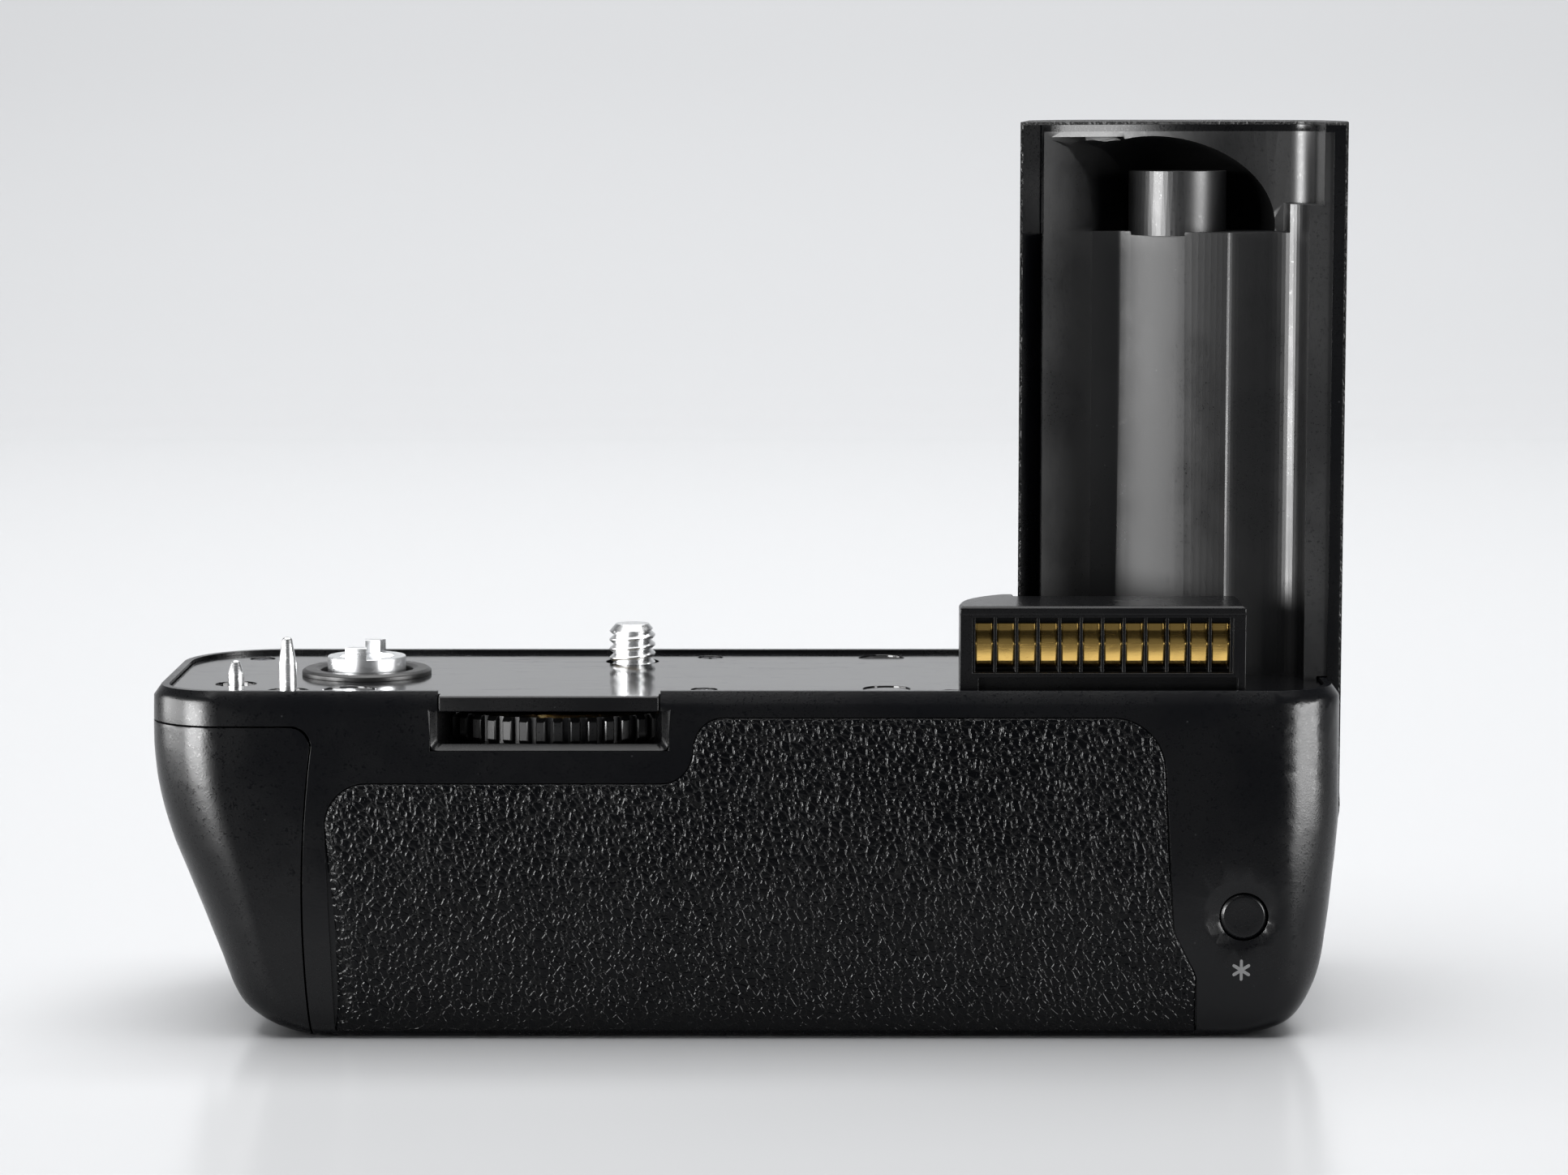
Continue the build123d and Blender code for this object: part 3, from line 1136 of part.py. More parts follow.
# Upright-shooting controls: release button, dial on its axle, and the control switch
with BuildPart() as shutter_button:
    with BuildSketch(FACET_PLANE.offset(-FACET_PAD - 0.1)):
        Circle(SHUTTER_R)
    extrude(amount=FACET_PAD + 0.1 + SHUTTER_PROUD)
    fillet(shutter_button.edges().filter_by(GeomType.CIRCLE).sort_by(Axis.Y)[-1], 0.5)
    with BuildSketch(FACET_PLANE.offset(-FACET_PAD - 0.9)):
        Circle(SHUTTER_R + 0.9)
    extrude(amount=0.8)
save(shutter_button.part, "shutter_button")

with BuildPart() as control_dial:
    dial_points = []
    for tooth in range(DIAL_TEETH):
        for radius, part_turn in ((DIAL_R - 0.5, -0.3), (DIAL_R, -0.2), (DIAL_R, 0.2), (DIAL_R - 0.5, 0.3)):
            turn = 2 * math.pi * (tooth + part_turn) / DIAL_TEETH
            dial_points.append((radius * math.cos(turn), radius * math.sin(turn)))
    with BuildSketch(DIAL_PLANE.offset(-DIAL_WIDTH / 2)):
        with BuildLine():
            Polyline(*dial_points, close=True)
        make_face()
        Circle(DIAL_AXLE_R + RUNNING, mode=Mode.SUBTRACT)
    extrude(amount=DIAL_WIDTH)
save(control_dial.part, "control_dial")
save(rod(DIAL_PLANE.offset(-DIAL_WIDTH / 2 - 1.6), DIAL_AXLE_R, DIAL_WIDTH + 3.2), "dial_axle")

with BuildPart() as control_switch:
    with BuildSketch(SWITCH_PLANE.offset(-SWITCH_SINK + 0.2)):
        Circle(SWITCH_R)
    extrude(amount=1.4)
    with BuildSketch(SWITCH_PLANE.offset(-SWITCH_SINK + 1.6)):
        with Locations((0, 1.5)):
            Rectangle(2.4, 7.0)
    extrude(amount=1.2)
    with BuildSketch(SWITCH_PLANE.offset(-7.0)):
        Circle(SWITCH_SHAFT_R)
    extrude(amount=7.0 - SWITCH_SINK + 0.2)
save(control_switch.part, "control_switch")

# Circuit board on its posts in the front cover
with BuildPart() as circuit_board:
    add(block(BOARD_LEFT, BOARD_RIGHT, BOARD_Y, BOARD_Y + BOARD_THICK, 8.0, 30.0))
save(circuit_board.part, "circuit_board")
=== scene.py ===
"""Dressed model of a camera power booster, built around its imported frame.

The booster screws under a single-lens reflex camera. Lengths are given in millimetres in the
row frame: the origin is on the tripod socket's axis in the base plane, +X runs towards the grip
tower, +Y away from the photographer and +Z up. Meshes are written in metres.
"""

from __future__ import annotations

import json
import logging
import math
from dataclasses import dataclass, field
from enum import Enum
from typing import Callable, Sequence

import bmesh
import bpy
import numpy as np
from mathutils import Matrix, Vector
from mathutils.geometry import delaunay_2d_cdt

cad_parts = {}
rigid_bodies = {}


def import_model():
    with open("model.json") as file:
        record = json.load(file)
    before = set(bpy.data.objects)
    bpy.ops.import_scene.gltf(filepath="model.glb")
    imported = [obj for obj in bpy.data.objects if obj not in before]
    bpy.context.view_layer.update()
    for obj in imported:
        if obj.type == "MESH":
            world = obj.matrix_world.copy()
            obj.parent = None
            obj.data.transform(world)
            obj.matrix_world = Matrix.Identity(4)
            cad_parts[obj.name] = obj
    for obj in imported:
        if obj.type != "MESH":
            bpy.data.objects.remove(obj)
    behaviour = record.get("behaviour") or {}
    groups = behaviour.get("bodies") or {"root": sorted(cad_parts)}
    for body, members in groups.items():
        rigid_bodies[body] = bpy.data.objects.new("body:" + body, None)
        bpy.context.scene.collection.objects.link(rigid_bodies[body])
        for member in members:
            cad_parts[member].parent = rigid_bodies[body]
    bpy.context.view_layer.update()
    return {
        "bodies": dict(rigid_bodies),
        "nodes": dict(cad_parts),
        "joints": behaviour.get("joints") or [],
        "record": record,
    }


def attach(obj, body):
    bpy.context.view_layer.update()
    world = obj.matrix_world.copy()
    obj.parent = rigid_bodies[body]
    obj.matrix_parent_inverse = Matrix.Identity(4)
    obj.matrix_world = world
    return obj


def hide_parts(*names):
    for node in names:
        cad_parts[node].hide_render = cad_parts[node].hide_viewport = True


LOG = logging.getLogger("booster")
MM = 0.001
TAU = 2.0 * math.pi
PLATE_TOP = 45.2
Array = np.ndarray
Faces = list[list[int]]
Socket = bpy.types.NodeSocket
Colour = tuple[float, float, float]
Table = tuple[tuple[float, ...], ...]


class Body(Enum):
    """Rigid bodies that dressed pieces ride on."""

    HOUSING = "housing"
    WHEEL = "wheel"
    SCREW = "screw"
    DOG = "dog"
    MAGAZINE = "magazine"
    KEY = "key"
    STAR = "star"
    RELEASE = "release"
    DIAL = "dial"
    SWITCH = "switch"


# Shader graphs


def rgba(value: object) -> object:
    """Gives a plain colour its alpha, and leaves anything else as it is."""
    return (*value, 1.0) if isinstance(value, tuple) and len(value) == 3 else value


def scaled(colour: Colour, factor: float) -> Colour:
    """Multiplies each part of a colour by a number."""
    return tuple(part * factor for part in colour)


class Graph:
    """Shorthand for building a node tree."""

    def __init__(self, tree: bpy.types.NodeTree) -> None:
        """Keeps the tree that nodes are added to."""
        self.tree = tree

    def feed(self, socket: Socket, value: object) -> None:
        """Links a socket to another socket, or sets its own value.

        Args:
            socket: the input to feed.
            value: an output socket, a number or a colour.
        """
        if isinstance(value, bpy.types.NodeSocket):
            self.tree.links.new(value, socket)
        else:
            socket.default_value = value

    def add(self, kind: str, *numbered: tuple[int, object], **settings: object) -> bpy.types.Node:
        """Adds a node, sets its properties and feeds its inputs.

        Args:
            kind: the node's type name without the ShaderNode prefix.
            *numbered: pairs of an input's number and what it gets.
            **settings: properties of the node; a name that is no property is an input.

        Returns:
            The new node.
        """
        node = self.tree.nodes.new(f"ShaderNode{kind}")
        for name, value in settings.items():
            if hasattr(node, name) and name not in node.inputs:
                setattr(node, name, value)
            else:
                self.feed(node.inputs[name.replace("_", " ")], value)
        for number, value in numbered:
            self.feed(node.inputs[number], value)
        return node

    def math(self, operation: str, *values: object) -> Socket:
        """Adds a Math node over one to three values and returns its result."""
        return self.add("Math", *enumerate(values), operation=operation).outputs[0]

    def plus(self, base: object, value: object, weight: float) -> Socket:
        """Adds a value times its weight to a base."""
        return self.math("MULTIPLY_ADD", value, weight, base)

    def vector(self, operation: str, first: object, second: object) -> Socket:
        """Adds a Vector Math node over two vectors and returns its result."""
        return self.add("VectorMath", (0, first), (1, second), operation=operation).outputs[0]

    def span(self, value: Socket, low: float, high: float) -> Socket:
        """Maps the values from low to high smoothly onto those from 0 to 1."""
        node = self.add("MapRange", (0, value), (1, low), (2, high), interpolation_type="SMOOTHSTEP")
        return node.outputs[0]

    def noise(self, place: Socket, scale: object, detail: float, roughness: float = 0.5,
              output: str = "Fac") -> Socket:
        """Adds a noise pattern and returns its value or colour."""
        node = self.add("TexNoise", Vector=place, Scale=scale, Detail=detail, Roughness=roughness)
        return node.outputs[output]

    def gaps(self, place: Socket, scale: object) -> Socket:
        """Adds a cell pattern and returns the distance to its cells' borders."""
        node = self.add("TexVoronoi", feature="DISTANCE_TO_EDGE", Vector=place, Scale=scale)
        return node.outputs["Distance"]

    def blend(self, factor: object, first: object, second: object) -> Socket:
        """Mixes two colours."""
        node = self.add("Mix", (0, factor), (6, rgba(first)), (7, rgba(second)), data_type="RGBA")
        return node.outputs[2]

    def lerp(self, factor: object, first: float, second: float) -> Socket:
        """Mixes two numbers."""
        return self.add("Mix", (0, factor), (2, first), (3, second), data_type="FLOAT").outputs[0]


class PatternGroups:
    """Shader groups that several finishes share, each built once."""

    def __init__(self) -> None:
        """Builds every group."""
        self.grain = self.moulded_grain()
        self.pebble = self.pebbled_leather()
        self.wear = self.handling_wear()
        self.specks = self.dust_specks()

    @staticmethod
    def start(name: str, inputs: dict[str, float], outputs: Sequence[str]) -> tuple[Graph, object, object]:
        """Makes an empty group with a Vector input, number inputs and number outputs.

        Args:
            name: the group's name.
            inputs: input names with their defaults.
            outputs: output names.

        Returns:
            The group's graph, the sockets that come in and the sockets that go out.
        """
        tree = bpy.data.node_groups.new(name, "ShaderNodeTree")
        tree.interface.new_socket("Vector", in_out="INPUT", socket_type="NodeSocketVector")
        for label, default in inputs.items():
            socket = tree.interface.new_socket(label, in_out="INPUT", socket_type="NodeSocketFloat")
            socket.default_value = default
        for label in outputs:
            tree.interface.new_socket(label, in_out="OUTPUT", socket_type="NodeSocketFloat")
        entry, leave = tree.nodes.new("NodeGroupInput"), tree.nodes.new("NodeGroupOutput")
        return Graph(tree), entry.outputs, leave.inputs

    def moulded_grain(self) -> bpy.types.NodeTree:
        """Fine moulded grain: two noises of the same size family, and the glints on their tops.

        Returns:
            The group.
        """
        graph, given, result = self.start("moulded_grain", {"Scale": 6000.0}, ("Height", "Glint"))
        fine = graph.noise(given["Vector"], given["Scale"], 1.0)
        coarse = graph.noise(given["Vector"], graph.math("MULTIPLY", given["Scale"], 0.37), 1.0)
        height = graph.plus(graph.math("MULTIPLY", fine, 0.65), coarse, 0.35)
        graph.feed(result["Height"], height)
        graph.feed(result["Glint"], graph.span(height, 0.56, 0.68))
        return graph.tree

    def pebbled_leather(self) -> bpy.types.NodeTree:
        """Pebbled leather: cells bent by noise, with creases between them and a finer grain on top.

        Returns:
            The group.
        """
        graph, given, result = self.start("pebbled_leather", {"Cells": 900.0, "Bend": 0.35},
                                          ("Height", "CreaseShade"))
        place, cells = given["Vector"], given["Cells"]
        drift = graph.noise(place, graph.math("MULTIPLY", cells, 0.9), 1.0, output="Color")
        away = graph.vector("SUBTRACT", drift, (0.5, 0.5, 0.5))
        sized = graph.add("VectorMath", (0, away), operation="SCALE",
                          Scale=graph.math("DIVIDE", given["Bend"], cells))
        tilted = graph.add("Mapping", vector_type="TEXTURE", Rotation=(0.0, 0.95, 0.0),
                           Scale=(1.35, 1.0, 0.95), Vector=place)
        bent = graph.vector("ADD", tilted.outputs[0], sized.outputs[0])
        border = graph.gaps(bent, cells)
        slope = graph.math("SUBTRACT", 1.0, graph.span(border, 0.0, 0.26))
        domes = graph.math("SUBTRACT", 1.0, graph.math("MULTIPLY", slope, slope))
        wrinkles = graph.span(graph.gaps(bent, graph.math("MULTIPLY", cells, 2.1)), 0.0, 0.1)
        pores = graph.noise(place, graph.math("MULTIPLY", cells, 6.0), 1.0)
        height = graph.plus(graph.plus(graph.math("MULTIPLY", domes, 0.8), wrinkles, 0.1), pores, 0.025)
        graph.feed(result["Height"], height)
        # The crease mask darkens the leather's colour as painted shade, and dulls it
        graph.feed(result["CreaseShade"], graph.span(border, 0.10, 0.0))
        return graph.tree

    def handling_wear(self) -> bpy.types.NodeTree:
        """Rubbed patches and hair-line scratches: broad noise, and stretched noise cut to thin lines.

        Returns:
            The group.
        """
        graph, given, result = self.start("handling_wear", {"Patch": 60.0, "Hair": 400.0},
                                          ("Patches", "Hairs"))
        broad = graph.noise(given["Vector"], given["Patch"], 4.0, 0.6)
        graph.feed(result["Patches"], graph.span(broad, 0.42, 0.68))
        lines = []
        for turn in (0.5, -0.9):
            stretched = graph.add("Mapping", Rotation=(turn, turn * 0.6, turn), Scale=(0.06, 1.0, 1.0),
                                  Vector=given["Vector"])
            streak = graph.noise(stretched.outputs[0], given["Hair"], 2.0)
            away = graph.math("ABSOLUTE", graph.math("SUBTRACT", streak, 0.5))
            lines.append(graph.span(away, 0.006, 0.0))
        graph.feed(result["Hairs"], graph.math("MAXIMUM", *lines))
        return graph.tree

    def dust_specks(self) -> bpy.types.NodeTree:
        """Sparse dust: the centres of a few cells of a cell pattern.

        Returns:
            The group.
        """
        graph, given, result = self.start("dust_specks", {"Cells": 700.0, "Share": 0.1}, ("Specks",))
        cells = graph.add("TexVoronoi", Vector=given["Vector"], Scale=given["Cells"])
        split = graph.add("SeparateColor", (0, cells.outputs["Color"]))
        chosen = graph.math("LESS_THAN", split.outputs[0], given["Share"])
        dot = graph.span(cells.outputs["Distance"], 0.16, 0.05)
        graph.feed(result["Specks"], graph.math("MULTIPLY", chosen, dot))
        return graph.tree


class Surface:
    """A material in the making: its graph, its Principled BSDF and its Object coordinates."""

    def __init__(self, name: str, patterns: PatternGroups) -> None:
        """Starts a material.

        Args:
            name: the material's name.
            patterns: the shared groups.
        """
        self.material = bpy.data.materials.new(name)
        self.material.use_nodes = True
        self.patterns = patterns
        self.graph = Graph(self.material.node_tree)
        self.shader = self.material.node_tree.nodes["Principled BSDF"]
        self.place = self.graph.add("TexCoord").outputs["Object"]

    def group(self, name: str, **values: float) -> object:
        """Places a shared group on the material's coordinates and returns its outputs."""
        tree = getattr(self.patterns, name)
        return self.graph.add("Group", node_tree=tree, Vector=self.place, **values).outputs

    def bump(self, height: Socket, depth: float, strength: float = 1.0) -> Socket:
        """Turns a height, about 0 to 1, into a normal; the depth is in millimetres."""
        return self.graph.add("Bump", Strength=strength, Distance=depth * MM, Height=height).outputs["Normal"]

    def set(self, **values: object) -> None:
        """Feeds inputs of the Principled BSDF; an underscore in a name stands for a space."""
        for name, value in values.items():
            self.graph.feed(self.shader.inputs[name.replace("_", " ")], rgba(value))


# Finishes


@dataclass(frozen=True)
class MouldedPlastic:
    """Satin plastic with a fine spark-eroded grain, slight rubbing and a little dust."""

    colour: Colour
    roughness: float = 0.36
    grain: float = 3600.0
    depth: float = 0.018
    dust: float = 0.04
    shine: float = 0.3

    def material(self, name: str, patterns: PatternGroups) -> bpy.types.Material:
        """Builds the material: grain in Normal, glints and rubbing in Roughness, dust in Base Color.

        Args:
            name: the material's name.
            patterns: the shared groups.

        Returns:
            The material.
        """
        made = Surface(name, patterns)
        graph = made.graph
        grain = made.group("grain", Scale=self.grain)
        rubbed = made.group("wear", Patch=45.0, Hair=260.0)["Patches"]
        specks = made.group("specks", Cells=900.0, Share=self.dust)["Specks"]
        rough = graph.lerp(rubbed, self.roughness + 0.04, self.roughness - 0.04)
        toned = graph.blend(rubbed, self.colour, scaled(self.colour, 1.3))
        pale = tuple(min(1.0, part + 0.08) for part in self.colour)
        made.set(Base_Color=graph.blend(graph.math("MULTIPLY", specks, 0.5), toned, pale),
                 Roughness=graph.plus(rough, grain["Glint"], -0.10), Specular_IOR_Level=self.shine,
                 Normal=made.bump(grain["Height"], self.depth, 0.8))
        return made.material


@dataclass(frozen=True)
class PebbledLeather:
    """Black pebbled leatherette."""

    colour: Colour
    cells: float
    roughness: float
    depth: float
    shine: float = 0.42

    def material(self, name: str, patterns: PatternGroups) -> bpy.types.Material:
        """Builds the material: pebbles in Normal, creases duller than the tops and painted darker as shade.

        Args:
            name: the material's name.
            patterns: the shared groups.

        Returns:
            The material.
        """
        made = Surface(name, patterns)
        graph = made.graph
        pebble = made.group("pebble", Cells=self.cells, Bend=0.75)
        rubbed = made.group("wear", Patch=70.0, Hair=200.0)["Patches"]
        rough = graph.lerp(rubbed, self.roughness, self.roughness - 0.08)
        # Base Color is darkened in the creases: painted shade
        made.set(Base_Color=graph.blend(pebble["CreaseShade"], self.colour, scaled(self.colour, 0.45)),
                 Roughness=graph.plus(rough, pebble["CreaseShade"], 0.2), Specular_IOR_Level=self.shine,
                 Normal=made.bump(pebble["Height"], self.depth))
        return made.material


@dataclass(frozen=True)
class GlossPaint:
    """Smooth black paint on metal, with faint orange peel and hair-line scratches."""

    colour: Colour
    roughness: float
    peel: float = 900.0
    depth: float = 0.0025

    def material(self, name: str, patterns: PatternGroups) -> bpy.types.Material:
        """Builds the material: orange peel in Normal, scratches in Roughness, specks in Base Color.

        Args:
            name: the material's name.
            patterns: the shared groups.

        Returns:
            The material.
        """
        made = Surface(name, patterns)
        graph = made.graph
        wear = made.group("wear", Patch=50.0, Hair=500.0)
        specks = made.group("specks", Cells=1300.0, Share=0.12)["Specks"]
        rough = graph.lerp(wear["Patches"], self.roughness, self.roughness + 0.05)
        dust = (0.2, 0.2, 0.2)
        made.set(Base_Color=graph.blend(graph.math("MULTIPLY", specks, 0.4), self.colour, dust),
                 Roughness=graph.plus(rough, wear["Hairs"], 0.12),
                 Normal=made.bump(made.group("grain", Scale=self.peel)["Height"], self.depth))
        return made.material


@dataclass(frozen=True)
class Metal:
    """Bare or plated metal with turning marks or a fine brush."""

    colour: Colour
    roughness: float
    brush: float = 900.0
    depth: float = 0.002

    def material(self, name: str, patterns: PatternGroups) -> bpy.types.Material:
        """Builds the material: fine scratches in Roughness and Normal, a darker tarnish in patches.

        Args:
            name: the material's name.
            patterns: the shared groups.

        Returns:
            The material.
        """
        made = Surface(name, patterns)
        graph = made.graph
        wear = made.group("wear", Patch=120.0, Hair=self.brush)
        rough = graph.lerp(wear["Patches"], self.roughness, self.roughness + 0.08)
        made.set(Base_Color=graph.blend(wear["Patches"], self.colour, scaled(self.colour, 0.86)),
                 Roughness=graph.plus(rough, wear["Hairs"], 0.10), Metallic=1.0,
                 Normal=made.bump(made.group("grain", Scale=self.brush * 4.0)["Height"], self.depth))
        return made.material


FINISHES = {
    "shell_plastic": MouldedPlastic((0.0032, 0.0035, 0.0048), 0.25, 3600.0, 0.018, 0.04, 0.27),
    "liner_plastic": MouldedPlastic((0.0034, 0.0037, 0.0048), 0.38, 6000.0, 0.006, 0.02, 0.7),
    "block_plastic": MouldedPlastic((0.006, 0.006, 0.007), 0.26, 7000.0, 0.004, 0.03),
    "control_plastic": MouldedPlastic((0.007, 0.007, 0.008), 0.34, 5000.0, 0.008, 0.04),
    "frame_plastic": MouldedPlastic((0.03, 0.03, 0.033), 0.5, 5000.0, 0.01, 0.03),
    "gear_plastic": MouldedPlastic((0.78, 0.77, 0.73), 0.4, 5000.0, 0.006, 0.0),
    "board_mask": MouldedPlastic((0.02, 0.13, 0.06), 0.28, 3000.0, 0.004, 0.0),
    "mark_paint": MouldedPlastic((0.42, 0.42, 0.42), 0.5, 6000.0, 0.004, 0.0),
    "leather": PebbledLeather((0.0026, 0.0029, 0.0040), 1080.0, 0.2, 0.09, 0.15),
    "plate_paint": GlossPaint((0.008, 0.008, 0.009), 0.09),
    "base_paint": GlossPaint((0.02, 0.02, 0.021), 0.3, 1500.0, 0.004),
    "collar_black": GlossPaint((0.012, 0.012, 0.012), 0.38, 4000.0, 0.004),
    "grip_leather": PebbledLeather((0.009, 0.009, 0.010), 1300.0, 0.5, 0.12),
    "brushed_plate": Metal((0.74, 0.75, 0.76), 0.27, 700.0, 0.004),
    "chrome": Metal((0.74, 0.745, 0.75), 0.24),
    "steel": Metal((0.55, 0.55, 0.56), 0.3),
    "dark_steel": Metal((0.06, 0.06, 0.065), 0.35),
    "gold": Metal((1.0, 0.66, 0.2), 0.17),
    "brass": Metal((0.80, 0.60, 0.28), 0.26),
    "cell_wrap": Metal((0.55, 0.42, 0.18), 0.3),
}


# Mesh making


def link_mesh(name: str, points: Array, faces: Faces) -> bpy.types.Object:
    """Makes an object at the origin from points in millimetres.

    Args:
        name: the object's name.
        points: x, y, z of each vertex along the last axis.
        faces: vertex numbers of each face.

    Returns:
        The new object, linked to the scene.
    """
    mesh = bpy.data.meshes.new(name)
    mesh.from_pydata((points.reshape(-1, 3) * MM).tolist(), [], faces)
    mesh.validate()
    return link_object(name, mesh)


def link_object(name: str, data: bpy.types.ID) -> bpy.types.Object:
    """Makes an object for a mesh, a camera or a lamp and links it to the scene.

    Args:
        name: the object's name.
        data: what it shows.

    Returns:
        The object.
    """
    made = bpy.data.objects.new(name, data)
    bpy.context.scene.collection.objects.link(made)
    return made


def weld(mesh: bpy.types.Mesh, distance: float = 1e-8, outwards: bool = True) -> None:
    """Merges a mesh's doubles and turns its faces outwards.

    Args:
        mesh: the mesh.
        distance: vertices nearer than this many metres become one.
        outwards: whether the faces are turned.
    """
    work = bmesh.new()
    work.from_mesh(mesh)
    bmesh.ops.remove_doubles(work, verts=work.verts, dist=distance)
    bmesh.ops.dissolve_degenerate(work, dist=distance, edges=work.edges)
    if outwards:
        bmesh.ops.recalc_face_normals(work, faces=work.faces)
    work.to_mesh(mesh)
    work.free()


def grid_faces(rows: int, columns: int, around: bool = False, start: int = 0) -> Faces:
    """Quads of a grid whose points are stored row by row.

    Args:
        rows: number of rows.
        columns: number of columns.
        around: whether the last column joins the first.
        start: number of the grid's first vertex.

    Returns:
        The faces.
    """
    row, column = np.meshgrid(np.arange(rows - 1), np.arange(columns - (not around)), indexing="ij")
    here, after = row * columns + column, row * columns + (column + 1) % columns
    corners = (here, after, after + columns, here + columns)
    return (np.stack([c.ravel() for c in corners], 1) + start).tolist()


def prism_faces(levels: int, count: int, start: int = 0) -> Faces:
    """Faces of stacked loops, closed by a face at each end.

    Args:
        levels: number of loops.
        count: number of points in a loop.
        start: number of the first vertex.

    Returns:
        The faces.
    """
    last = start + (levels - 1) * count
    ends = [list(range(first, first + count)) for first in (start, last)]
    return grid_faces(levels, count, True, start) + ends


def sheet_faces(rows: int, columns: int, start: int = 0) -> Faces:
    """Faces of a closed sheet: two open grids, stored one after the other, and the rim between them.

    Args:
        rows: number of rows in each grid.
        columns: number of columns in each grid.
        start: number of the first vertex.

    Returns:
        The faces.
    """
    size = rows * columns
    front = grid_faces(rows, columns, start=start)
    number = np.arange(size).reshape(rows, columns) + start
    rim = [*number[0], *number[1:, -1], *number[-1, -2::-1], *number[-2:0:-1, 0]]
    sides = [[int(v) for v in (a, b, b + size, a + size)] for a, b in zip(rim, rim[1:] + rim[:1])]
    return front + [[v + size for v in face] for face in front] + sides


def turned(name: str, radii: Array, heights: Array, turn: Array, centre: Sequence[float] = (0.0, 0.0),
           axes: Sequence[int] = (0, 1, 2)) -> bpy.types.Object:
    """Makes a turned form, whose radius may change round the axis.

    The surface is (x0 + r cos a, y0 + r sin a, h) for each step along the form and each angle a.
    Points on the axis become one pole.

    Args:
        name: the object's name.
        radii: radius r at each step and angle.
        heights: height h at each step and angle.
        turn: the angles a, in radians.
        centre: x0 and y0.
        axes: which of the three values above become x, y and z.

    Returns:
        The object.
    """
    radii, heights, turn = np.broadcast_arrays(radii, heights, turn)
    points = np.stack([centre[0] + radii * np.cos(turn), centre[1] + radii * np.sin(turn), heights], -1)
    made = link_mesh(name, points[..., list(axes)], grid_faces(*radii.shape, around=True))
    weld(made.data)
    return made


def round_turn(steps: int) -> Array:
    """Angles of a full turn in equal steps."""
    return np.arange(steps) * TAU / steps


def soften(path: Sequence[Sequence[float]], radius: float, closed: bool = False, steps: int = 4) -> Array:
    """Rounds the corners of a polyline with arcs drawn as quadratic curves through each corner.

    Each corner P with neighbours A and B becomes (1-t)^2 P_a + 2t(1-t) P + t^2 P_b, where P_a and
    P_b lie on the two sides at the rounding's reach.

    Args:
        path: the points, one row each.
        radius: reach of the rounding along each side, which is at most 0.45 of the side.
        closed: whether the last point joins the first.
        steps: number of pieces in each rounding.

    Returns:
        The softened points.
    """
    path = np.asarray(path, float)
    t = np.linspace(0.0, 1.0, steps + 1)[:, None]
    out = []
    for i, (before, here, after) in enumerate(zip(np.roll(path, 1, 0), path, np.roll(path, -1, 0))):
        if not closed and i in (0, len(path) - 1):
            out.append(here[None])
            continue
        back, forth = np.linalg.norm(before - here), np.linalg.norm(after - here)
        reach = min(radius, 0.45 * min(back, forth))
        first = here + (before - here) / max(back, 1e-9) * reach
        last = here + (after - here) / max(forth, 1e-9) * reach
        out.append((1 - t) ** 2 * first + 2 * t * (1 - t) * here + t**2 * last)
    return np.concatenate(out)


def arc(x: float, y: float, radius: float, turn: Array) -> Array:
    """Points (x + r cos a, y + r sin a), one row for each angle a."""
    return np.stack([x + radius * np.cos(turn), y + radius * np.sin(turn)], 1)


def inset(outline: Array, distance: float) -> Array:
    """Moves an anticlockwise outline inwards by moving each corner along its mitre.

    Args:
        outline: the outline's points.
        distance: how far every side moves; a negative one moves outwards.

    Returns:
        The moved points.
    """
    side = np.roll(outline, -1, 0) - outline
    side /= np.maximum(np.linalg.norm(side, axis=1, keepdims=True), 1e-9)
    inward = np.stack([-side[:, 1], side[:, 0]], 1)
    mitre = inward + np.roll(inward, 1, 0)
    # Keeps a very sharp corner from moving far away
    least = 0.35
    return outline + mitre / np.maximum((mitre * inward).sum(1, keepdims=True), least) * distance


def inside(points: Array, outline: Array) -> Array:
    """Tells which points lie in an outline, by counting the sides that a ray to the right crosses.

    Args:
        points: the points to test.
        outline: the outline's points.

    Returns:
        One truth value per point.
    """
    x, y = points[:, :1], points[:, 1:2]
    x0, y0 = outline.T
    x1, y1 = np.roll(outline, -1, 0).T
    reach = x0 + (y - y0) * (x1 - x0) / np.where(y1 == y0, 1e-9, y1 - y0)
    return (((y0 > y) != (y1 > y)) & (x < reach)).sum(1) % 2 == 1


def fill(outline: Array, holes: Sequence[Array] = (), spacing: float = 0.0) -> tuple[Array, Faces]:
    """Fills an outline, less its holes, with triangles.

    The triangles are the Delaunay ones that keep the outline's and the holes' sides; where a
    spacing is given, points of a square lattice inside the outline are added.

    Args:
        outline: the outer outline's points.
        holes: the holes' outlines.
        spacing: the lattice's spacing in millimetres, or 0 for none.

    Returns:
        The points, which begin with the outline's and the holes', and the triangles.
    """
    loops = [outline, *holes]
    points = np.concatenate(loops)
    starts = np.cumsum([0, *[len(loop) for loop in loops[:-1]]])
    edges = [(s + i, s + (i + 1) % len(loop)) for s, loop in zip(starts, loops) for i in range(len(loop))]
    if spacing:
        low, high = outline.min(0) + spacing * 0.5, outline.max(0)
        lattice = np.stack(np.meshgrid(*[np.arange(*ends, spacing) for ends in zip(low, high)]), -1)
        lattice = lattice.reshape(-1, 2)
        points = np.concatenate([points, lattice[inside(lattice, inset(outline, 0.4 * spacing))]])
    found, _, faces, *_ = delaunay_2d_cdt([Vector(p) for p in points], edges, [], 1, 1e-6)
    flat = np.array([tuple(v) for v in found])
    middles = np.array([flat[list(face)].mean(0) for face in faces])
    kept = inside(middles, outline)
    for hole in holes:
        kept &= ~inside(middles, hole)
    return flat, [list(face) for face, keep in zip(faces, kept) if keep]


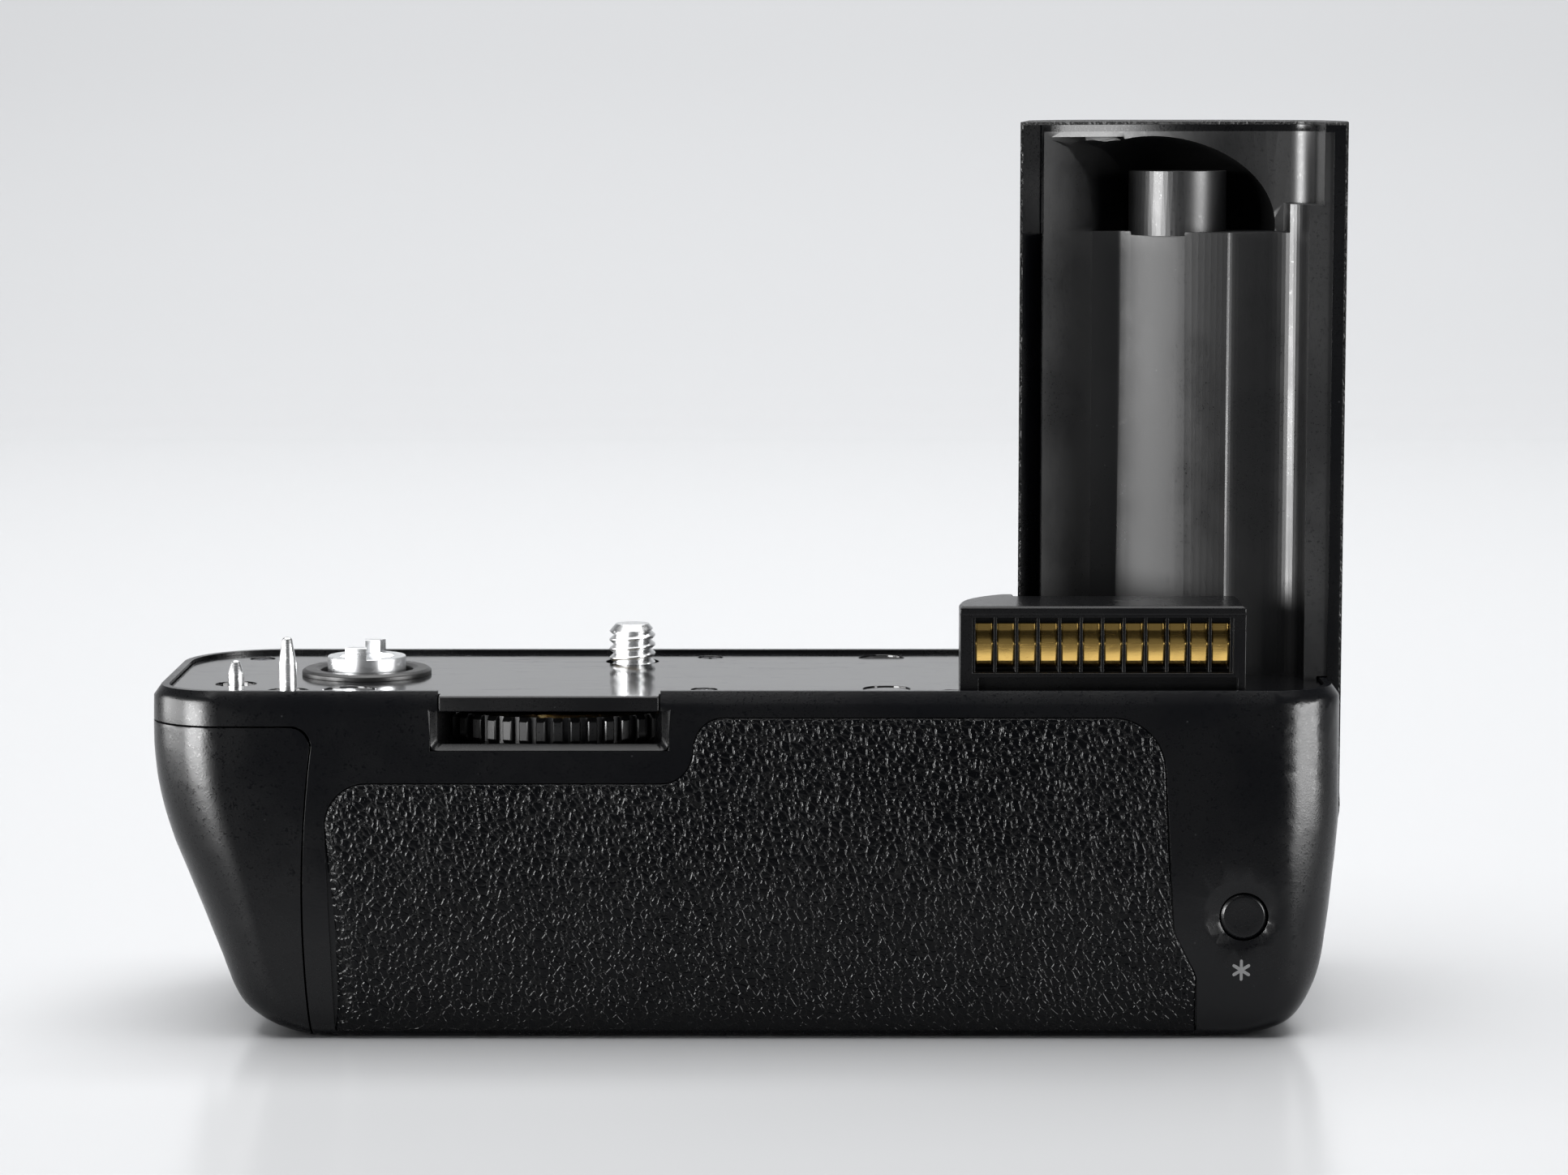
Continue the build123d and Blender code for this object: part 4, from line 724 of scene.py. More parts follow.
class Sheet:
    """A mesh that grows from a filled outline: bands along its loops, then further faces."""

    def __init__(self, points: Array, faces: Faces) -> None:
        """Starts with filled points, one row of x, y, z per vertex, and their faces."""
        self.points, self.faces, self.total = [points], list(faces), len(points)

    def join(self, first: int, second: int, count: int) -> None:
        """Adds the band between the two loops that begin at two vertices and have count points each."""
        pairs = [(i, (i + 1) % count) for i in range(count)]
        self.faces += [[first + i, second + i, second + j, first + j] for i, j in pairs]

    def bands(self, first: int, loops: Sequence[Array]) -> int:
        """Adds bands from the loop that begins at a vertex through further loops.

        Args:
            first: the loop's first vertex.
            loops: the further loops' points, in order.

        Returns:
            The last loop's first vertex.
        """
        for loop in loops:
            self.join(first, self.total, len(loop))
            first = self.add(loop, [])
        return first

    def add(self, points: Array, faces: Faces) -> int:
        """Adds points with their own faces.

        Args:
            points: one row of x, y, z per vertex.
            faces: faces over these points, numbered from 0.

        Returns:
            The first point's number in the mesh.
        """
        first = self.total
        self.points.append(points)
        self.faces += [[first + v for v in face] for face in faces]
        self.total += len(points)
        return first

    def finish(self, name: str, distance: float) -> bpy.types.Object:
        """Makes the object.

        Args:
            name: the object's name.
            distance: vertices nearer than this many metres become one.

        Returns:
            The object.
        """
        made = link_mesh(name, np.concatenate(self.points), self.faces)
        weld(made.data, distance)
        return made


def level(flat: Array, height: float) -> Array:
    """Lifts points in plan to a height."""
    return np.column_stack([flat, np.full(len(flat), height)])


class Workshop:
    """Dresses pieces with their material and body."""

    def __init__(self, frame: dict, materials: dict[str, bpy.types.Material]) -> None:
        """Keeps what every piece needs.

        Args:
            materials: the materials by name.
        """
        self.nodes = frame["nodes"]
        self.materials = materials
        self.slots = {row["node"]: row["material_slot"] for row in frame["record"]["subparts"]}
        self.dressed: set[str] = set()

    def paint(self, made: bpy.types.Object, finish: str) -> None:
        """Gives an object the material of a finish.

        Args:
            made: the object.
            finish: the material's name.
        """
        made.data.materials.clear()
        made.data.materials.append(self.materials[finish])
        LOG.info("%s: %s", made.name, finish)

    def dress(self, made: bpy.types.Object, finish: str, body: Body, nodes: Sequence[str] = (),
              smooth: float = 35.0) -> None:
        """Gives a piece its material, shading, body and replaced nodes.

        Args:
            made: the piece.
            finish: name of its material.
            body: the body that it rides on.
            nodes: CAD nodes that it stands for.
            smooth: edges sharper than this many degrees stay sharp.
        """
        self.paint(made, finish)
        made.data.polygons.foreach_set("use_smooth", np.ones(len(made.data.polygons), bool))
        made.data.set_sharp_from_angle(angle=math.radians(smooth))
        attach(made, body.value)
        if nodes:
            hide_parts(*nodes)
            self.dressed.update(nodes)

    def refine(self, node: str, finish: str, body: Body, edge: float, angle: float = 40.0,
               form: Callable[[Array], Array] | None = None) -> None:
        """Stands in for a CAD node with a merged copy of it whose edges are rounded.

        Args:
            node: the CAD node.
            finish: name of its material.
            body: the body that it rides on.
            edge: width of the rounding in millimetres.
            angle: edges sharper than this many degrees are rounded.
            form: moves the copy's points, given and returned in millimetres.
        """
        mesh = self.nodes[node].data.copy()
        mesh.name = f"{node}_refined"
        weld(mesh, 1e-6, outwards=False)
        if form:
            points = np.empty(len(mesh.vertices) * 3)
            mesh.vertices.foreach_get("co", points)
            mesh.vertices.foreach_set("co", (form(points.reshape(-1, 3) / MM) * MM).ravel())
            mesh.update()
        made = link_object(mesh.name, mesh)
        self.dress(made, finish, body, (node,), angle)
        bevel = made.modifiers.new("edges", "BEVEL")
        bevel.width = edge * MM
        bevel.segments = 2
        bevel.limit_method = "ANGLE"
        bevel.angle_limit = math.radians(angle)
        bevel.miter_outer = "MITER_ARC"
        weigh = made.modifiers.new("shading", "WEIGHTED_NORMAL")
        weigh.mode = "FACE_AREA_WITH_ANGLE"
        weigh.weight = 60
        weigh.keep_sharp = True


# The body


@dataclass(frozen=True)
class BodyForm:
    """The body's outer form: its rear face, the slant of its ends and its outline at the top."""

    # Height and y of the rear face
    rear_stations: Table = (
        (0.0, -33.8), (0.8, -35.0), (3.0, -36.0), (7.0, -36.4), (13.0, -36.7), (17.5, -36.8), (22.0, -36.8),
        (27.5, -36.5), (33.0, -36.0), (38.5, -35.4), (44.3, -34.7),
    )
    # Height and distance moved
    left_slant: Table = (
        (0.0, 0.0), (2.0, 0.0), (3.6, 0.3), (5.7, 1.07), (7.9, 1.7), (10.0, 2.0), (12.1, 2.03),
        (14.3, 1.93), (16.4, 1.8), (18.6, 1.6), (20.7, 1.4), (22.9, 1.15), (25.0, 0.85), (29.3, 0.45),
        (33.6, 0.15), (38.0, 0.0),
    )
    right_slant: Table = (
        (0.0, 0.9), (3.0, 1.1), (8.0, 1.15), (13.0, 1.1), (18.0, 0.75), (23.0, 0.3), (28.0, 0.0),
    )
    # Where each slant's share rises from 0 to 1
    left_stretch: tuple[float, float] = (-42.5, -56.0)
    right_stretch: tuple[float, float] = (86.0, 92.0)
    # Left x, right x, rear y, front y, rear corner radius and front corner radius at the top
    top: tuple[float, ...] = (-62.3, 94.2, -34.7, 10.6, 9.5, 14.0)

    def rear(self, height: Array) -> Array:
        """Y of the rear face at each height, on a smooth curve through the stations.

        The curve is the cubic through each two neighbouring stations whose slope at a station is
        that of the parabola through the station and its neighbours.

        Args:
            height: the heights.

        Returns:
            One y per height.
        """
        z, y = np.array(self.rear_stations).T
        slope = np.gradient(y, z)
        place = np.clip(np.searchsorted(z, height, side="right") - 1, 0, len(z) - 2)
        step = z[place + 1] - z[place]
        t = np.clip((height - z[place]) / step, 0.0, 1.0)
        return ((2 * t**3 - 3 * t**2 + 1) * y[place] + (t**3 - 2 * t**2 + t) * step * slope[place]
                + (3 * t**2 - 2 * t**3) * y[place + 1] + (t**3 - t**2) * step * slope[place + 1])

    def slanted(self, points: Array) -> Array:
        """Slants the body's two ends inwards below their middle height.

        Each point moves along x by (table value at its height) times a share that rises smoothly,
        as 3 t^2 - 2 t^3, from 0 to 1 across the last stretch before the end.

        Args:
            points: the points, in millimetres.

        Returns:
            The moved points.
        """
        moved = points.copy()
        ends = ((self.left_slant, 1.0, self.left_stretch), (self.right_slant, -1.0, self.right_stretch))
        for slant, sense, (inner, outer) in ends:
            share = np.clip((points[:, 0] - inner) / (outer - inner), 0.0, 1.0)
            share = 3 * share**2 - 2 * share**3
            moved[:, 0] += sense * share * np.interp(points[:, 2], *np.array(slant).T)
        return moved

    def top_corners(self, drawn: float) -> list[Array]:
        """The four arcs of the body's top outline in plan, drawn in by a distance.

        Args:
            drawn: how far the outline is drawn in.

        Returns:
            The arcs, anticlockwise from the left end of the rear side.
        """
        left, right, rear, front, rear_radius, front_radius = self.top
        quarter = np.radians(np.linspace(0.0, 90.0, 19))
        corners = ((left, rear, rear_radius, 1, 1, -180.0), (right, rear, rear_radius, -1, 1, -90.0),
                   (right, front, front_radius, -1, -1, 0.0), (left, front, front_radius, 1, -1, 90.0))
        return [arc(x + across * radius, y + along * radius, radius - drawn, math.radians(begin) + quarter)
                for x, y, radius, across, along, begin in corners]


FORM = BodyForm()


@dataclass(frozen=True)
class Shells:
    """Rear housing, front cover with the grip's shell, and the magazine's end cover."""

    edge: float = 0.28
    mark_place: tuple[float, float] = (80.6, 9.3)
    mark_reach: float = 1.42
    mark_width: float = 0.42
    mark_squeeze: float = 0.92
    mark_proud: float = 0.025

    def star_mark(self, shop: Workshop) -> None:
        """Prints the six-armed star under the rear button as a thin raised film.

        Each arm is a bar with a round end; three bars at 30, 90 and 150 degrees cross in the
        middle, and every point is laid on the housing's rear face.

        Args:
            shop: the workshop.
        """
        points, faces = [], []
        half = self.mark_width / 2
        end = arc(self.mark_reach - half, 0.0, half, np.linspace(-math.pi / 2, math.pi / 2, 7))
        bar = np.concatenate([end, -end])
        for number, tilt in enumerate((30.0, 90.0, 150.0)):
            c, s = math.cos(math.radians(tilt)), math.sin(math.radians(tilt))
            x = self.mark_place[0] + self.mark_squeeze * (bar @ (c, -s))
            z = self.mark_place[1] + bar @ (s, c)
            y = FORM.rear(z) - self.mark_proud - 0.002 * number
            faces += prism_faces(2, len(bar), 2 * len(bar) * number)
            points += [np.stack([x, y + depth, z], 1) for depth in (0.0, 0.2)]
        made = link_mesh("star_mark", np.concatenate(points), faces)
        weld(made.data)
        shop.dress(made, "mark_paint", Body.HOUSING)

    def build(self, shop: Workshop) -> None:
        """Makes the shells and the printed mark.

        Args:
            shop: the workshop.
        """
        for node, body in (("main_housing", Body.HOUSING), ("front_cover", Body.HOUSING),
                           ("end_cover", Body.MAGAZINE)):
            shop.refine(node, "shell_plastic", body, self.edge, form=FORM.slanted)
        self.star_mark(shop)


@dataclass(frozen=True)
class RearLeather:
    """Pebbled sheet on the rear face."""

    # Corner (x, z) and its radius, from the lower left corner upwards
    corners: Table = (
        (-37.9, 0.75, 0.0), (-39.2, 33.9, 5.5), (8.3, 33.9, 4.0), (9.6, 42.4, 4.0), (70.3, 42.4, 7.0),
        (71.8, 14.5, 4.0), (74.8, 8.5, 3.0), (74.9, 0.75, 0.0),
    )
    gap: float = 0.13
    proud: float = 0.16
    thick: float = 0.6
    spacing: float = 1.6
    # How far the front is drawn in, then each loop of the rolled edge: drawn in, and sunk
    front_drawn: float = 0.35
    roll: Table = ((0.12, 0.05), (0.0, 0.22), (0.0, 0.6))

    def outline(self) -> Array:
        """The sheet's outline: straight sides and tangent arcs at its corners.

        Returns:
            Points x, z, anticlockwise seen from the rear.
        """
        out = []
        places = np.array(self.corners)[:, :2]
        for here, before, after, radius in zip(places, np.roll(places, 1, 0), np.roll(places, -1, 0),
                                               [corner[2] for corner in self.corners]):
            if not radius:
                out.append(here[None])
                continue
            before, after = [(side - here) / np.linalg.norm(side - here) for side in (before, after)]
            half = 0.5 * math.acos(float(np.clip(before @ after, -1, 1)))
            middle = here + (before + after) / np.linalg.norm(before + after) * radius / math.sin(half)
            first, last = [math.atan2(*(here + side * radius / math.tan(half) - middle)[::-1])
                           for side in (before, after)]
            sweep = (last - first + math.pi) % TAU - math.pi
            out.append(arc(*middle, radius, first + np.linspace(0.0, sweep, 15)))
        return np.concatenate(out)[::-1]

    def laid(self, flat: Array, sunk: float) -> Array:
        """Lays points x, z on the rear face, sunk below the sheet's surface."""
        return np.column_stack([flat[:, 0], FORM.rear(flat[:, 1]) - self.proud + sunk, flat[:, 1]])

    def build(self, shop: Workshop) -> None:
        """Makes the sheet: a lattice inside the outline laid on the rear face, with a rolled edge.

        Args:
            shop: the workshop.
        """
        rim = inset(self.outline(), self.gap)
        flat, faces = fill(inset(rim, self.front_drawn), (), self.spacing)
        sheet = Sheet(self.laid(flat, 0.0), faces)
        last = sheet.bands(0, [self.laid(inset(rim, drawn), sunk) for drawn, sunk in self.roll])
        sheet.join(last, sheet.add(self.laid(flat, self.thick), faces), len(rim))
        made = sheet.finish("rear_leather_sheet", 1e-7)
        shop.dress(made, "leather", Body.HOUSING, ("rear_leather",), 60.0)


# The top deck


@dataclass(frozen=True)
class TopPlate:
    """Glossy plate with its recesses and the bar over the thumbwheel."""

    thick: float = 1.2
    drawn: float = 2.15
    # Left x, right x, rear y and lower z of the bar
    bar: tuple[float, float, float, float] = (-24.0, 4.6, -35.2, 43.2)
    bar_depth: float = 1.1
    bar_corner: float = 0.3
    bar_chamfer: float = 0.12
    bar_sunk: float = 0.05
    # (x, y, radius, depth) of the round recesses; a depth of the plate's thickness is a hole
    recesses: Table = (
        (-51.8, -23.1, 2.72, 0.4), (-44.2, -29.5, 2.72, 0.4), (-36.2, -28.6, 3.45, 0.16),
        (34.4, -27.85, 3.15, 0.16), (34.4, 3.8, 3.15, 0.16), (0.0, 0.0, 3.65, 1.2), (-35.4, -12.8, 7.05, 1.2),
        (10.7, 4.2, 1.75, 0.5), (10.4, -28.4, 1.75, 0.5), (-51.3, 2.7, 1.75, 0.5), (43.0, -30.3, 1.75, 0.5),
    )
    rim: float = 0.06
    setback: float = 0.35

    def outline(self) -> Array:
        """The plate's outline with the tongue of its bar, anticlockwise.

        Returns:
            Its points in plan.
        """
        corners = FORM.top_corners(self.drawn)
        left, right, rear, _ = self.bar
        side, front = corners[0][:, 1].min(), rear + self.setback
        tongue = np.array([[left, side], [left, front], [right, front], [right, side]])
        return np.concatenate([corners[0], tongue, *corners[1:]])

    def plate(self) -> bpy.types.Object:
        """Makes the plate: a flat face with holes, chamfered rims, walls and sunk floors.

        Returns:
            The plate.
        """
        outline = self.outline()
        rings = [arc(x, y, radius, round_turn(48)) for x, y, radius, _ in self.recesses]
        flat, faces = fill(inset(outline, self.rim), [inset(loop, -self.rim) for loop in rings])
        sheet = Sheet(level(flat, PLATE_TOP), faces)
        shoulder, under = PLATE_TOP - self.rim, PLATE_TOP - self.thick
        sheet.bands(0, [level(outline, shoulder), level(outline, under)])
        first, through = len(outline), []
        for loop, (*_, depth) in zip(rings, self.recesses):
            last = sheet.bands(first, [level(loop, shoulder), level(loop, PLATE_TOP - depth)])
            if depth < self.thick:
                sheet.faces.append(list(range(last, last + len(loop))))
            else:
                through.append(loop)
            first += len(loop)
        flat, faces = fill(outline, through)
        sheet.add(level(flat, under), faces)
        return sheet.finish("plate_face", 2e-7)

    def strip(self) -> bpy.types.Object:
        """Makes the bar: a rounded rectangle raised between two heights, with both rims chamfered.

        Returns:
            The bar.
        """
        left, right, rear, low = self.bar
        corners = [(left, rear), (right, rear), (right, rear + self.bar_depth), (left, rear + self.bar_depth)]
        outline = soften(corners, self.bar_corner, True, 3)
        cut, top = self.bar_chamfer, PLATE_TOP - self.bar_sunk
        drawn = inset(outline, cut)
        levels = ((drawn, low), (outline, low + cut), (outline, top - cut), (drawn, top))
        points = np.concatenate([level(line, height) for line, height in levels])
        made = link_mesh("plate_bar", points, prism_faces(len(levels), len(outline)))
        weld(made.data)
        return made

    def build(self, shop: Workshop) -> None:
        """Makes the plate and its bar."""
        shop.dress(self.plate(), "plate_paint", Body.HOUSING, ("top_plate",), 25.0)
        shop.dress(self.strip(), "block_plastic", Body.HOUSING, (), 25.0)


@dataclass(frozen=True)
class PlateScrews:
    """Small crosshead screws sunk in the plate."""

    places: Table = ((10.7, 4.2), (10.4, -28.4), (-51.3, 2.7), (43.0, -30.3))
    head: float = 1.55
    top: float = 45.08
    slot_half: float = 0.2
    slot_reach: float = 0.85
    slot_depth: float = 0.45
    # Angle in radians by which each screw is turned further than the one before
    twist: float = 0.4
    columns: int = 64

    def build(self, shop: Workshop) -> None:
        """Makes the heads: turned heads whose tops are sunk by a cross.

        In axes that turn with the screw, the top is sunk by the slot's depth where the smaller of
        |x| and |y| is under the slot's half width and the other is under its reach.

        Args:
            shop: the workshop.
        """
        radii = np.array([0.0, *np.linspace(0.12, 0.95, 12), 1.2, self.head - 0.12, self.head, self.head])
        heights = np.array([0.0] * 14 + [-0.02, -0.12, -0.9])
        turn = round_turn(self.columns)
        points, faces = [], []
        for number, (x, y) in enumerate(self.places):
            own = turn + self.twist * number
            across, along = [np.abs(radii[:, None] * wave(own)) for wave in (np.cos, np.sin)]
            narrow, near = np.minimum(across, along), np.maximum(across, along)
            cross = (narrow < self.slot_half) & (near < self.slot_reach)
            z = self.top + heights[:, None] - self.slot_depth * cross
            px, py = [radii[:, None] * wave(turn) for wave in (np.cos, np.sin)]
            points.append(np.stack([x + px, y + py, z], 2))
            faces += prism_faces(len(radii), self.columns, z.size * number)
        made = link_mesh("plate_screw_heads", np.concatenate(points), faces)
        weld(made.data)
        shop.dress(made, "dark_steel", Body.HOUSING, ("plate_screws",), 30.0)


@dataclass(frozen=True)
class GuidePins:
    """The two plated pins that find the camera's base."""

    # Node, x, y, radius, straight height, full height
    pins: tuple[tuple[str, float, float, float, float, float], ...] = (
        ("short_guide_pin", -51.8, -23.1, 1.075, 1.5, 3.2),
        ("tall_guide_pin", -44.2, -29.5, 1.15, 3.7, 7.1),
    )
    foot: float = 41.7
    foot_radius: float = 1.5
    flange_radius: float = 2.5
    # Depth of the flange's top below the plate's, height of the domed tip and its share of the radius
    seat: float = 0.42
    dome: float = 0.42
    tip_share: float = 0.58

    def build(self, shop: Workshop) -> None:
        """Makes the pins: a flange, a straight shank, a cone and a domed tip.

        Args:
            shop: the workshop.
        """
        for node, x, y, radius, straight, height in self.pins:
            tip, seat, neck = self.tip_share * radius, PLATE_TOP - self.seat, PLATE_TOP + height - self.dome
            stem, flange = self.foot_radius, self.flange_radius
            shank = soften([
                (0.0, self.foot), (stem, self.foot), (stem, seat - 0.5), (flange, seat - 0.5), (flange, seat),
                (radius + 0.1, seat), (radius, seat + 0.15), (radius, PLATE_TOP + straight), (tip, neck),
            ], 0.08, steps=3)
            rising = np.linspace(0.25, math.pi / 2, 7)
            dome = np.stack([tip * np.cos(rising), neck + self.dome * np.sin(rising)], 1)
            profile = np.concatenate([shank[:-1], dome])
            profile[-1, 0] = 0.0
            made = turned(f"{node}_turned", profile[:, :1], profile[:, 1:], round_turn(64), (x, y))
            shop.dress(made, "chrome", Body.HOUSING, (node,), 50.0)


@dataclass(frozen=True)
class FilmCoupler:
    """Bush with its collar, and the sprung dog with two lugs."""

    centre: tuple[float, float] = (-35.4, -12.8)
    rim: float = 47.7
    lug: float = 49.3
    lug_bearings: tuple[float, float] = (-101.0, 82.0)
    lug_half: float = 16.0

    def collar(self, shop: Workshop) -> None:
        """Makes the collar, a flat ring with a rounded shoulder and a step inside.

        Args:
            shop: the workshop.
        """
        profile = soften([
            (2.6, 42.4), (7.0, 42.4), (7.0, 45.15), (8.7, 45.15), (8.7, 45.75), (8.25, PLATE_TOP + 0.88),
            (6.9, PLATE_TOP + 0.9), (6.2, PLATE_TOP + 0.62), (6.2, 43.5), (2.6, 43.5), (2.6, 42.4),
        ], 0.12)
        made = turned("coupler_ring", profile[:, :1], profile[:, 1:], round_turn(128), self.centre)
        shop.dress(made, "collar_black", Body.HOUSING, ("coupler_collar",), 40.0)

    def dog(self, shop: Workshop) -> None:
        """Makes the dog: a cup whose rim is stepped up at the lugs.

        The rim's height is that of the lugs within the lugs' half width of their bearings and that
        of the rim elsewhere; pairs of columns close together make the lugs' upright ends.

        Args:
            shop: the workshop.
        """
        ends = [bearing + side * self.lug_half + nudge for bearing in self.lug_bearings
                for side in (-1, 1) for nudge in (-0.05, 0.05)]
        turns = np.sort(np.concatenate([np.arange(0.0, 360.0, 3.0), np.array(ends) % 360.0]))
        away = np.min([np.abs((turns - b + 180.0) % 360.0 - 180.0) for b in self.lug_bearings], axis=0)
        profile = soften([
            (0.0, 38.5), (1.5, 38.5), (1.5, 45.0), (5.25, 45.0), (5.25, self.rim), (3.6, self.rim),
            (3.6, 45.9), (1.9, 45.9), (1.9, 46.5), (0.0, 46.5),
        ], 0.14, steps=3)
        lifted = (profile[:, 1:] > self.rim - 0.2) & (away < self.lug_half)
        heights = profile[:, 1:] + (self.lug - self.rim) * lifted
        made = turned("dog_cup", profile[:, :1], heights, np.radians(turns), self.centre)
        shop.dress(made, "brushed_plate", Body.DOG, ("coupler_dog",), 35.0)

    def build(self, shop: Workshop) -> None:
        """Makes both pieces."""
        self.collar(shop)
        self.dog(shop)


@dataclass(frozen=True)
class AttachmentScrew:
    """Threaded screw that draws the camera down."""

    radius: float = 3.175
    pitch: float = 1.27
    depth: float = 0.62
    foot: float = 42.2
    relief_top: float = 44.6
    top: float = 50.5
    row_step: float = 0.055
    # How steep the ridge is before its crest is cut flat
    flank: float = 1.18
    # Radius where the lead cone and the run-out of the thread begin, and its growth per millimetre
    lead_cone: tuple[float, float] = (2.28, 0.85)
    run_out: tuple[float, float] = (2.45, 2.0)

    def build(self, shop: Workshop) -> None:
        """Makes the screw, whose radius at height z and angle a is R - d (1 - min(1, flank g)).

        Here g is 1 - |2 f - 1| and f is the fraction of z / pitch - a / 2 pi, so the ridge climbs
        one pitch in a turn; the lead cone at the tip and the relief at the foot cut it off.

        Args:
            shop: the workshop.
        """
        turn = round_turn(72)
        rising = np.arange(self.relief_top, self.top + 1e-6, self.row_step)[:, None]
        phase = (rising / self.pitch - turn / TAU) % 1.0
        ridge = 1.0 - np.abs(2.0 * phase - 1.0)
        thread = self.radius - self.depth * (1.0 - np.clip(self.flank * ridge, 0.0, 1.0))
        lead = self.lead_cone[0] + (self.top - rising) * self.lead_cone[1]
        start = self.run_out[0] + np.clip(rising - self.relief_top, 0.0, 1.0) * self.run_out[1]
        lower = np.array([(0.0, self.foot), (2.6, self.foot), (2.6, 43.9), (self.radius, 43.95),
                          (self.radius, 44.2), (2.85, 44.3)])
        crown = np.array([(1.9, self.top), (1.2, self.top - 0.05), (0.0, self.top - 0.05)])
        ends = [np.broadcast_to(rows[:, :1], (len(rows), len(turn))) for rows in (lower, crown)]
        radii = np.concatenate([ends[0], np.minimum(np.minimum(thread, lead), start), ends[1]])
        heights = np.concatenate([lower[:, 1:], rising, crown[:, 1:]])
        made = turned("threaded_screw", radii, heights, turn)
        shop.dress(made, "chrome", Body.SCREW, ("attachment_screw",), 50.0)


@dataclass(frozen=True)
class Thumbwheel:
    """Coarse-toothed wheel under the plate's rear edge."""

    centre: tuple[float, float] = (-8.646, -12.257)
    radius: float = 20.5
    teeth: int = 56
    depth: float = 0.95
    base: float = 38.4
    thick: float = 3.5
    chamfer: float = 0.55

    def build(self, shop: Workshop) -> None:
        """Makes the wheel: a toothed outline cut off by a turned profile.

        At each height the radius is the smaller of the tooth outline's and the profile's, so the
        teeth's ends are chamfered and their roots aren't.

        Args:
            shop: the workshop.
        """
        rim, base, top = self.radius, self.base, self.base + self.thick
        root = rim - self.depth
        tooth = np.array([
            (-0.5, root), (-0.36, root + 0.02), (-0.27, rim - 0.16), (-0.21, rim - 0.02), (0.21, rim),
            (0.27, rim - 0.16), (0.36, root + 0.02),
        ])
        turn = (np.arange(self.teeth)[:, None] + tooth[:, 0]).ravel() * TAU / self.teeth
        cut, slope = self.chamfer, self.chamfer * 0.8
        profile = np.array([
            (1.6, base), (4.0, base), (4.0, base + 1.0), (17.1, base + 1.0), (17.1, base), (19.2, base),
            (rim - cut, base), (rim - 0.1, base + slope), (rim, base + cut), (rim, top - cut),
            (rim - 0.1, top - slope), (rim - cut, top), (19.2, top), (17.1, top), (17.1, base + 2.4),
            (4.0, base + 2.4), (4.0, 42.2), (1.6, 42.2), (1.6, base),
        ])
        radii = np.minimum(profile[:, :1], np.tile(tooth[:, 1], self.teeth))
        made = turned("toothed_wheel", radii, profile[:, 1:], turn, self.centre)
        shop.dress(made, "control_plastic", Body.WHEEL, ("attachment_wheel",), 28.0)


@dataclass(frozen=True)
class WheelWindow:
    """Recess behind the wheel's window: a sloping sill, side walls and a floor under the wheel."""

    left: float = -25.15
    right: float = 5.85
    base: float = 38.03
    top: float = 43.15
    corner: float = 1.0
    # Height at which the rear face's y is taken
    face_height: float = 40.0
    # Depth behind the rear face, and how far the loop is drawn in at the sides and below
    steps: Table = (
        (-0.05, 0.0, 0.0), (-0.04, 0.06, 0.06), (0.75, 0.65, 0.8), (0.95, 0.8, 0.84), (1.1, 0.95, 0.33),
        (3.4, 1.7, 0.33), (12.0, 2.4, 0.33),
    )
    # How far the sheet's outer side lies outside the inner one along x, y and z
    wall: tuple[float, float, float] = (0.3, 0.5, 0.25)

    def build(self, shop: Workshop) -> None:
        """Makes the recess from loops that step inwards and backwards from the rear face.

        Each loop is an open U with round lower corners; loop k lies at its own depth and is drawn
        in by its own distance, so the strip between two loops is a slope or a wall.

        Args:
            shop: the workshop.
        """
        face = FORM.rear(np.array([self.face_height]))[0]
        loops = []
        for depth, side, rise in self.steps:
            left, right, low = self.left + side, self.right - side, self.base + rise
            path = soften([
                (left, self.top), (left, self.top - 0.5), (left, low), (right, low), (right, self.top - 0.5),
                (right, self.top),
            ], self.corner, steps=6)
            loops.append(np.column_stack([path[:, 0], np.full(len(path), face + depth), path[:, 1]]))
        inner = np.array(loops)
        middle = np.array([0.5 * (self.left + self.right), -math.inf, 0.5 * (self.base + self.top)])
        outer = inner + np.sign(inner - middle) * self.wall
        made = link_mesh("wheel_recess", np.concatenate([inner, outer]), sheet_faces(*inner.shape[:2]))
        weld(made.data)
        shop.dress(made, "block_plastic", Body.HOUSING, (), 30.0)


# Contacts and controls


